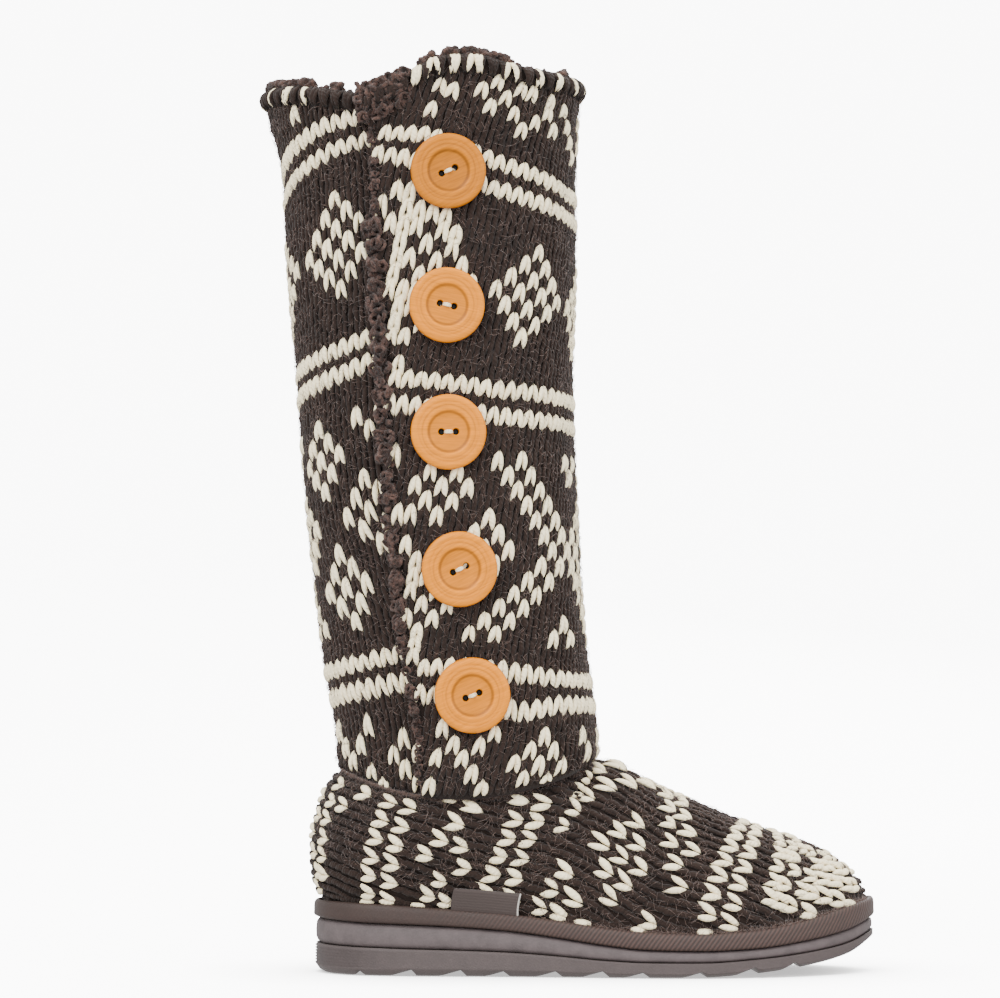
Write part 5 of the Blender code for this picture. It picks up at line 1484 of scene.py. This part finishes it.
class BOOT_OT_label(bpy.types.Operator):
    """Bare woven tab caught in the seam above the rand"""
    bl_idname = "boot.label"
    bl_label = "Label"

    def execute(self, context):
        columns, rows = 36, 10
        dense, out, _ = foot_sections("outer", np.linspace(0.0, 1.0, 500), 40)
        foot_x = dense[:, 1, 0]
        lengths = np.linspace(along_x(LABEL_ALONG[0]), along_x(LABEL_ALONG[1]), columns)
        ups = np.linspace(-0.0010, LABEL_HEIGHT, rows)
        index = np.array([int(np.argmin(abs(foot_x - x))) for x in lengths])
        wall = dense[index, 1:]
        level = wall[:, :1, 2] + ups[None, :]
        near = np.stack([[np.interp(level[i], wall[i, :, 2], wall[i, :, k]) for k in (0, 1)]
                         for i in range(len(index))])
        spot = np.concatenate([near.transpose(0, 2, 1), level[..., None]], axis=2)
        away = np.column_stack([out[index], np.zeros(len(index))])[:, None]
        edge = np.minimum(np.arange(rows), np.arange(rows)[::-1])[None, :, None]
        end = np.minimum(np.arange(columns), np.arange(columns)[::-1])[:, None, None]
        puff = np.clip(np.minimum(edge, end) / 1.5, 0.0, 1.0) * 0.0003
        front = spot + away * (GAP + 0.0014 + LABEL_THICKNESS * 0.7) + away * puff
        back = spot + away * (GAP + 0.0002)
        u = (lengths - lengths[0])[:, None] + 0 * ups
        pair = np.stack([u, ups[None] + 0 * u], axis=-1).reshape(-1, 2)
        make_piece("label_tape", *shell(front, back), "tape", "tab_cloth", ("label",),
                   np.concatenate([pair, pair]))
        return {"FINISHED"}


def button_place(row):
    """Base point and axes of one button, lying on the flap where the solids put it."""
    x, z = along_x(row[0]), row[1] * BOOT_HEIGHT
    turns = np.linspace(40.0, 109.0, 800)
    spot = lambda t, h: shaft_point(t, h, flap_lift(t))
    turn = float(np.interp(-x, -spot(turns, z)[:, 0], turns))
    here = spot(turn, z)
    out = unit(np.cross(spot(turn - 0.5, z) - spot(turn + 0.5, z),
                        spot(turn, z + 0.004) - spot(turn, z - 0.004)))
    level = unit(np.cross((0.0, 0.0, 1.0), out))
    rise = np.cross(out, level)
    tilt = math.radians(row[2])
    across = level * math.cos(tilt) + rise * math.sin(tilt)
    up = np.cross(out, across)
    angle = np.arange(16) * 2 * math.pi / 16
    round_way = np.outer(np.cos(angle), across) + np.outer(np.sin(angle), up)
    rim = here + round_way * (BUTTON_DIAMETER / 2 - 0.001)
    under = []
    for point in rim:
        line = spot(turns, point[2])
        under.append(line[np.argmin(abs(line[:, 0] - point[0]))])
    stand = max(0.0, float(np.max((np.array(under) - rim) @ out)))
    return here + out * (GAP + stand), across, up, out


class BOOT_OT_buttons(bpy.types.Operator):
    """Turned wooden buttons with two holes, and the thread that sews each on"""
    bl_idname = "boot.buttons"
    bl_label = "Buttons"

    def execute(self, context):
        radius, dish, top = BUTTON_DIAMETER / 2, DISH_DIAMETER / 2, BUTTON_THICKNESS
        floor = top - DISH_DEPTH
        # The dish has fine rings where the holes go down.
        fine = np.column_stack([np.linspace(0.0006, 0.0056, DISH_RINGS), np.full(DISH_RINGS, floor)])
        profile = np.vstack([fine, np.array((
            (dish - 0.0014, floor + 0.0001), (dish - 0.0006, floor + 0.0004), (dish, top - 0.0005),
            (dish + 0.0006, top - 0.0001), (dish + 0.0013, top), (radius * 0.68, top - 0.0003),
            (radius * 0.72, top - 0.0001), (radius * 0.78, top), (radius * 0.80, top - 0.00025),
            (radius * 0.82, top + 0.00005), (radius - 0.0021, top), (radius - 0.0012, top - 0.0002),
            (radius - 0.0005, top - 0.0008), (radius - 0.0001, top - 0.0017), (radius, top * 0.45),
            (radius - 0.0005, 0.0009), (radius - 0.0014, 0.0002), (radius - 0.0030, 0.0),
            (radius * 0.5, 0.0), (0.0008, 0.0)))])
        steps = 96
        angle = np.arange(steps) * 2 * math.pi / steps
        r, z = profile[:, 0], profile[:, 1]
        x = r[:, None] * np.cos(angle)
        y = r[:, None] * np.sin(angle)
        height = np.broadcast_to(z[:, None], x.shape).copy()
        surface = np.arange(len(r)) < DISH_RINGS
        for centre in (-HOLE_SPACING / 2, HOLE_SPACING / 2):
            away = np.hypot(x - centre, y)
            fall = np.clip((HOLE_DIAMETER / 2 + 0.0002 - away) / 0.0004, 0.0, 1.0)
            height -= np.where(surface[:, None], fall * 0.0028, 0.0)
        local = np.stack([x, y, height], axis=-1).reshape(-1, 3)
        local = np.vstack([local, (0.0, 0.0, floor), (0.0, 0.0, 0.0)])
        faces = quads(len(r), steps, close_v=True)
        caps = np.concatenate([fan(steps, 0, len(local) - 2),
                               fan(steps, (len(r) - 1) * steps, len(local) - 1, True)])
        threads = []
        for number, row in enumerate(BUTTONS, 1):
            base, across, up, out = button_place(row)
            turned = base + local[:, :1] * across + local[:, 1:2] * up + local[:, 2:] * out
            pair = local[:, :2] / BUTTON_DIAMETER
            make_piece(f"button_turned_{number}", turned, [faces, caps],
                       "wood_dark" if number == 1 else "wood", "button_wood", (f"button_{number}",), pair)
            for shift in (-0.00030, 0.00030):
                ends = [base + across * side * (HOLE_SPACING / 2 - 0.0011) + up * shift
                        + out * (floor - 0.0018) for side in (-1.0, 1.0)]
                middle = base + up * shift * 1.2 + out * (floor + 0.0011)
                threads.append(strands(ends[0][None], middle[None], ends[1][None], out[None],
                                       np.array([0.00052]), np.array([0.00050]),
                                       rings=12, sides=8, power=0.3))
        make_joined("button_thread", threads, "cream", tuple(f"button_{n}" for n in range(1, 6)))
        return {"FINISHED"}


class BOOT_OT_studio(bpy.types.Operator):
    """Pale floor and backdrop, soft area lights and the camera"""
    bl_idname = "boot.studio"
    bl_label = "Studio"

    def execute(self, context):
        colour = context.scene.boot_colours.floor
        material, tree, shader = blank_material("matt_white_studio_floor")
        coord = add_node(tree, "ShaderNodeTexCoord", (-700, 0))
        speck = add_node(tree, "ShaderNodeTexNoise", (-500, 0), (("Vector", coord.outputs["Object"]),
                         ("Scale", 6.0)))
        ramp = add_node(tree, "ShaderNodeValToRGB", (-300, 0), (("Fac", speck.outputs["Fac"]),))
        two_tones(ramp, colour, 0.985, 1.0)
        # Lit from within like a light table, so that the floor goes to the photo's white.
        # It glows less where the shoe stands over it, which leaves a soft contact shadow.
        near = add_node(tree, "ShaderNodeAmbientOcclusion", (-500, -250), (("Distance", 0.07),), samples=4)
        glow = add_node(tree, "ShaderNodeMapRange", (-300, -250), (("Value", near.outputs["AO"]),
                        ("From Min", 0.25), ("From Max", 0.98), ("To Min", 0.6), ("To Max", 8.0)))
        set_inputs(tree, shader, (("Base Color", ramp.outputs["Color"]), ("Roughness", 0.95),
                                  ("Specular IOR Level", 0.1), ("Emission Color", (1.0, 1.0, 1.0, 1.0)),
                                  ("Emission Strength", glow.outputs["Result"])))
        # A flat floor that bends up behind the shoe.
        u = np.linspace(-20.0, 20.0, 41)[:, None]
        bend = np.linspace(0.1, 1.5, 14)
        path = np.concatenate([np.column_stack([np.linspace(-20.0, 1.6, 60), np.zeros(60)]),
                               np.column_stack([1.6 + 0.9 * np.sin(bend), 0.9 * (1 - np.cos(bend))]),
                               np.array([[2.52, 1.6], [2.52, 3.2]])])
        grid = np.stack([u + 0 * path[:, 0], path[:, 0] + 0 * u, path[:, 1] + 0 * u - 0.0002], axis=-1)
        mesh = bpy.data.meshes.new("studio_floor")
        mesh.from_pydata([tuple(v) for v in grid.reshape(-1, 3)], [], quads(*grid.shape[:2]).tolist())
        mesh.polygons.foreach_set("use_smooth", [True] * len(mesh.polygons))
        mesh.materials.append(material)
        floor = bpy.data.objects.new("studio_floor", mesh)
        context.scene.collection.objects.link(floor)
        floor.visible_diffuse = False
        floor.visible_glossy = False
        floor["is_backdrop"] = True
        for name, place, size, power in (
                ("key_light", (-0.9, -1.5, 1.5), 1.2, 44.0), ("fill_light", (1.5, -1.3, 0.9), 1.4, 22.0),
                ("top_light", (0.1, 0.2, 2.0), 2.0, 40.0), ("front_light", (0.1, -2.2, 0.5), 1.6, 14.0),
                ("back_light", (0.4, 1.7, 1.1), 1.8, 40.0)):
            light = bpy.data.lights.new(name, "AREA")
            light.shape = "DISK"
            light.size = size
            light.energy = power
            lamp = bpy.data.objects.new(name, light)
            context.scene.collection.objects.link(lamp)
            aim = np.array((0.08, 0.0, 0.15)) - np.array(place)
            lamp.location = place
            lamp.rotation_euler = (math.atan2(np.hypot(aim[0], aim[1]), -aim[2]), 0.0,
                                   math.atan2(-aim[0], aim[1]))
        world = bpy.data.worlds.new("studio_air")
        world.use_nodes = True
        background = world.node_tree.nodes["Background"]
        background.inputs["Color"].default_value = (1.0, 1.0, 1.0, 1.0)
        background.inputs["Strength"].default_value = 1.5
        context.scene.world = world
        camera = bpy.data.cameras.new("photo_camera")
        camera.sensor_width = 36.0
        camera.lens = 117.7
        camera.clip_end = 20.0
        view = bpy.data.objects.new("photo_camera", camera)
        view.location = (0.05485, -1.5, 0.1117)
        view.rotation_euler = (math.radians(90.0 + 3.94), 0.0, 0.0)
        context.scene.collection.objects.link(view)
        context.scene.camera = view
        return {"FINISHED"}


PIECES = (BOOT_OT_shaft_wall, BOOT_OT_shaft_knit, BOOT_OT_rim, BOOT_OT_foot_wall, BOOT_OT_foot_knit,
          BOOT_OT_fleece_edges, BOOT_OT_stray_fibres, BOOT_OT_sole, BOOT_OT_label, BOOT_OT_buttons,
          BOOT_OT_studio)


class BOOT_PT_panel(bpy.types.Panel):
    """Sizes, colours and makers of the boot"""
    bl_idname = "BOOT_PT_panel"
    bl_label = "Knitted slipper boot"
    bl_space_type = "VIEW_3D"
    bl_region_type = "UI"
    bl_category = "Boot"

    def draw(self, context):
        for group in (context.scene.boot_sizes, context.scene.boot_colours):
            for name in group.__annotations__:
                self.layout.prop(group, name)
        for piece in PIECES:
            self.layout.operator(piece.bl_idname)


CLASSES = (BootSizes, BootColours) + PIECES + (BOOT_PT_panel,)


def register():
    for kind in CLASSES:
        bpy.utils.register_class(kind)
    bpy.types.Scene.boot_sizes = bpy.props.PointerProperty(type=BootSizes)
    bpy.types.Scene.boot_colours = bpy.props.PointerProperty(type=BootColours)


def unregister():
    del bpy.types.Scene.boot_colours
    del bpy.types.Scene.boot_sizes
    for kind in reversed(CLASSES):
        bpy.utils.unregister_class(kind)


def main():
    register()
    bpy.ops.boot.shaft_wall()
    bpy.ops.boot.shaft_knit()
    bpy.ops.boot.rim()
    bpy.ops.boot.foot_wall()
    bpy.ops.boot.foot_knit()
    bpy.ops.boot.fleece_edges()
    bpy.ops.boot.stray_fibres()
    bpy.ops.boot.sole()
    bpy.ops.boot.label()
    bpy.ops.boot.buttons()
    bpy.ops.boot.studio()
    plain = lambda box: [[float(value) for value in corner] for corner in box]
    {"cad": plain(CAD_BOX), "visual": plain(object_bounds())}


if __name__ == "__main__":
    main()
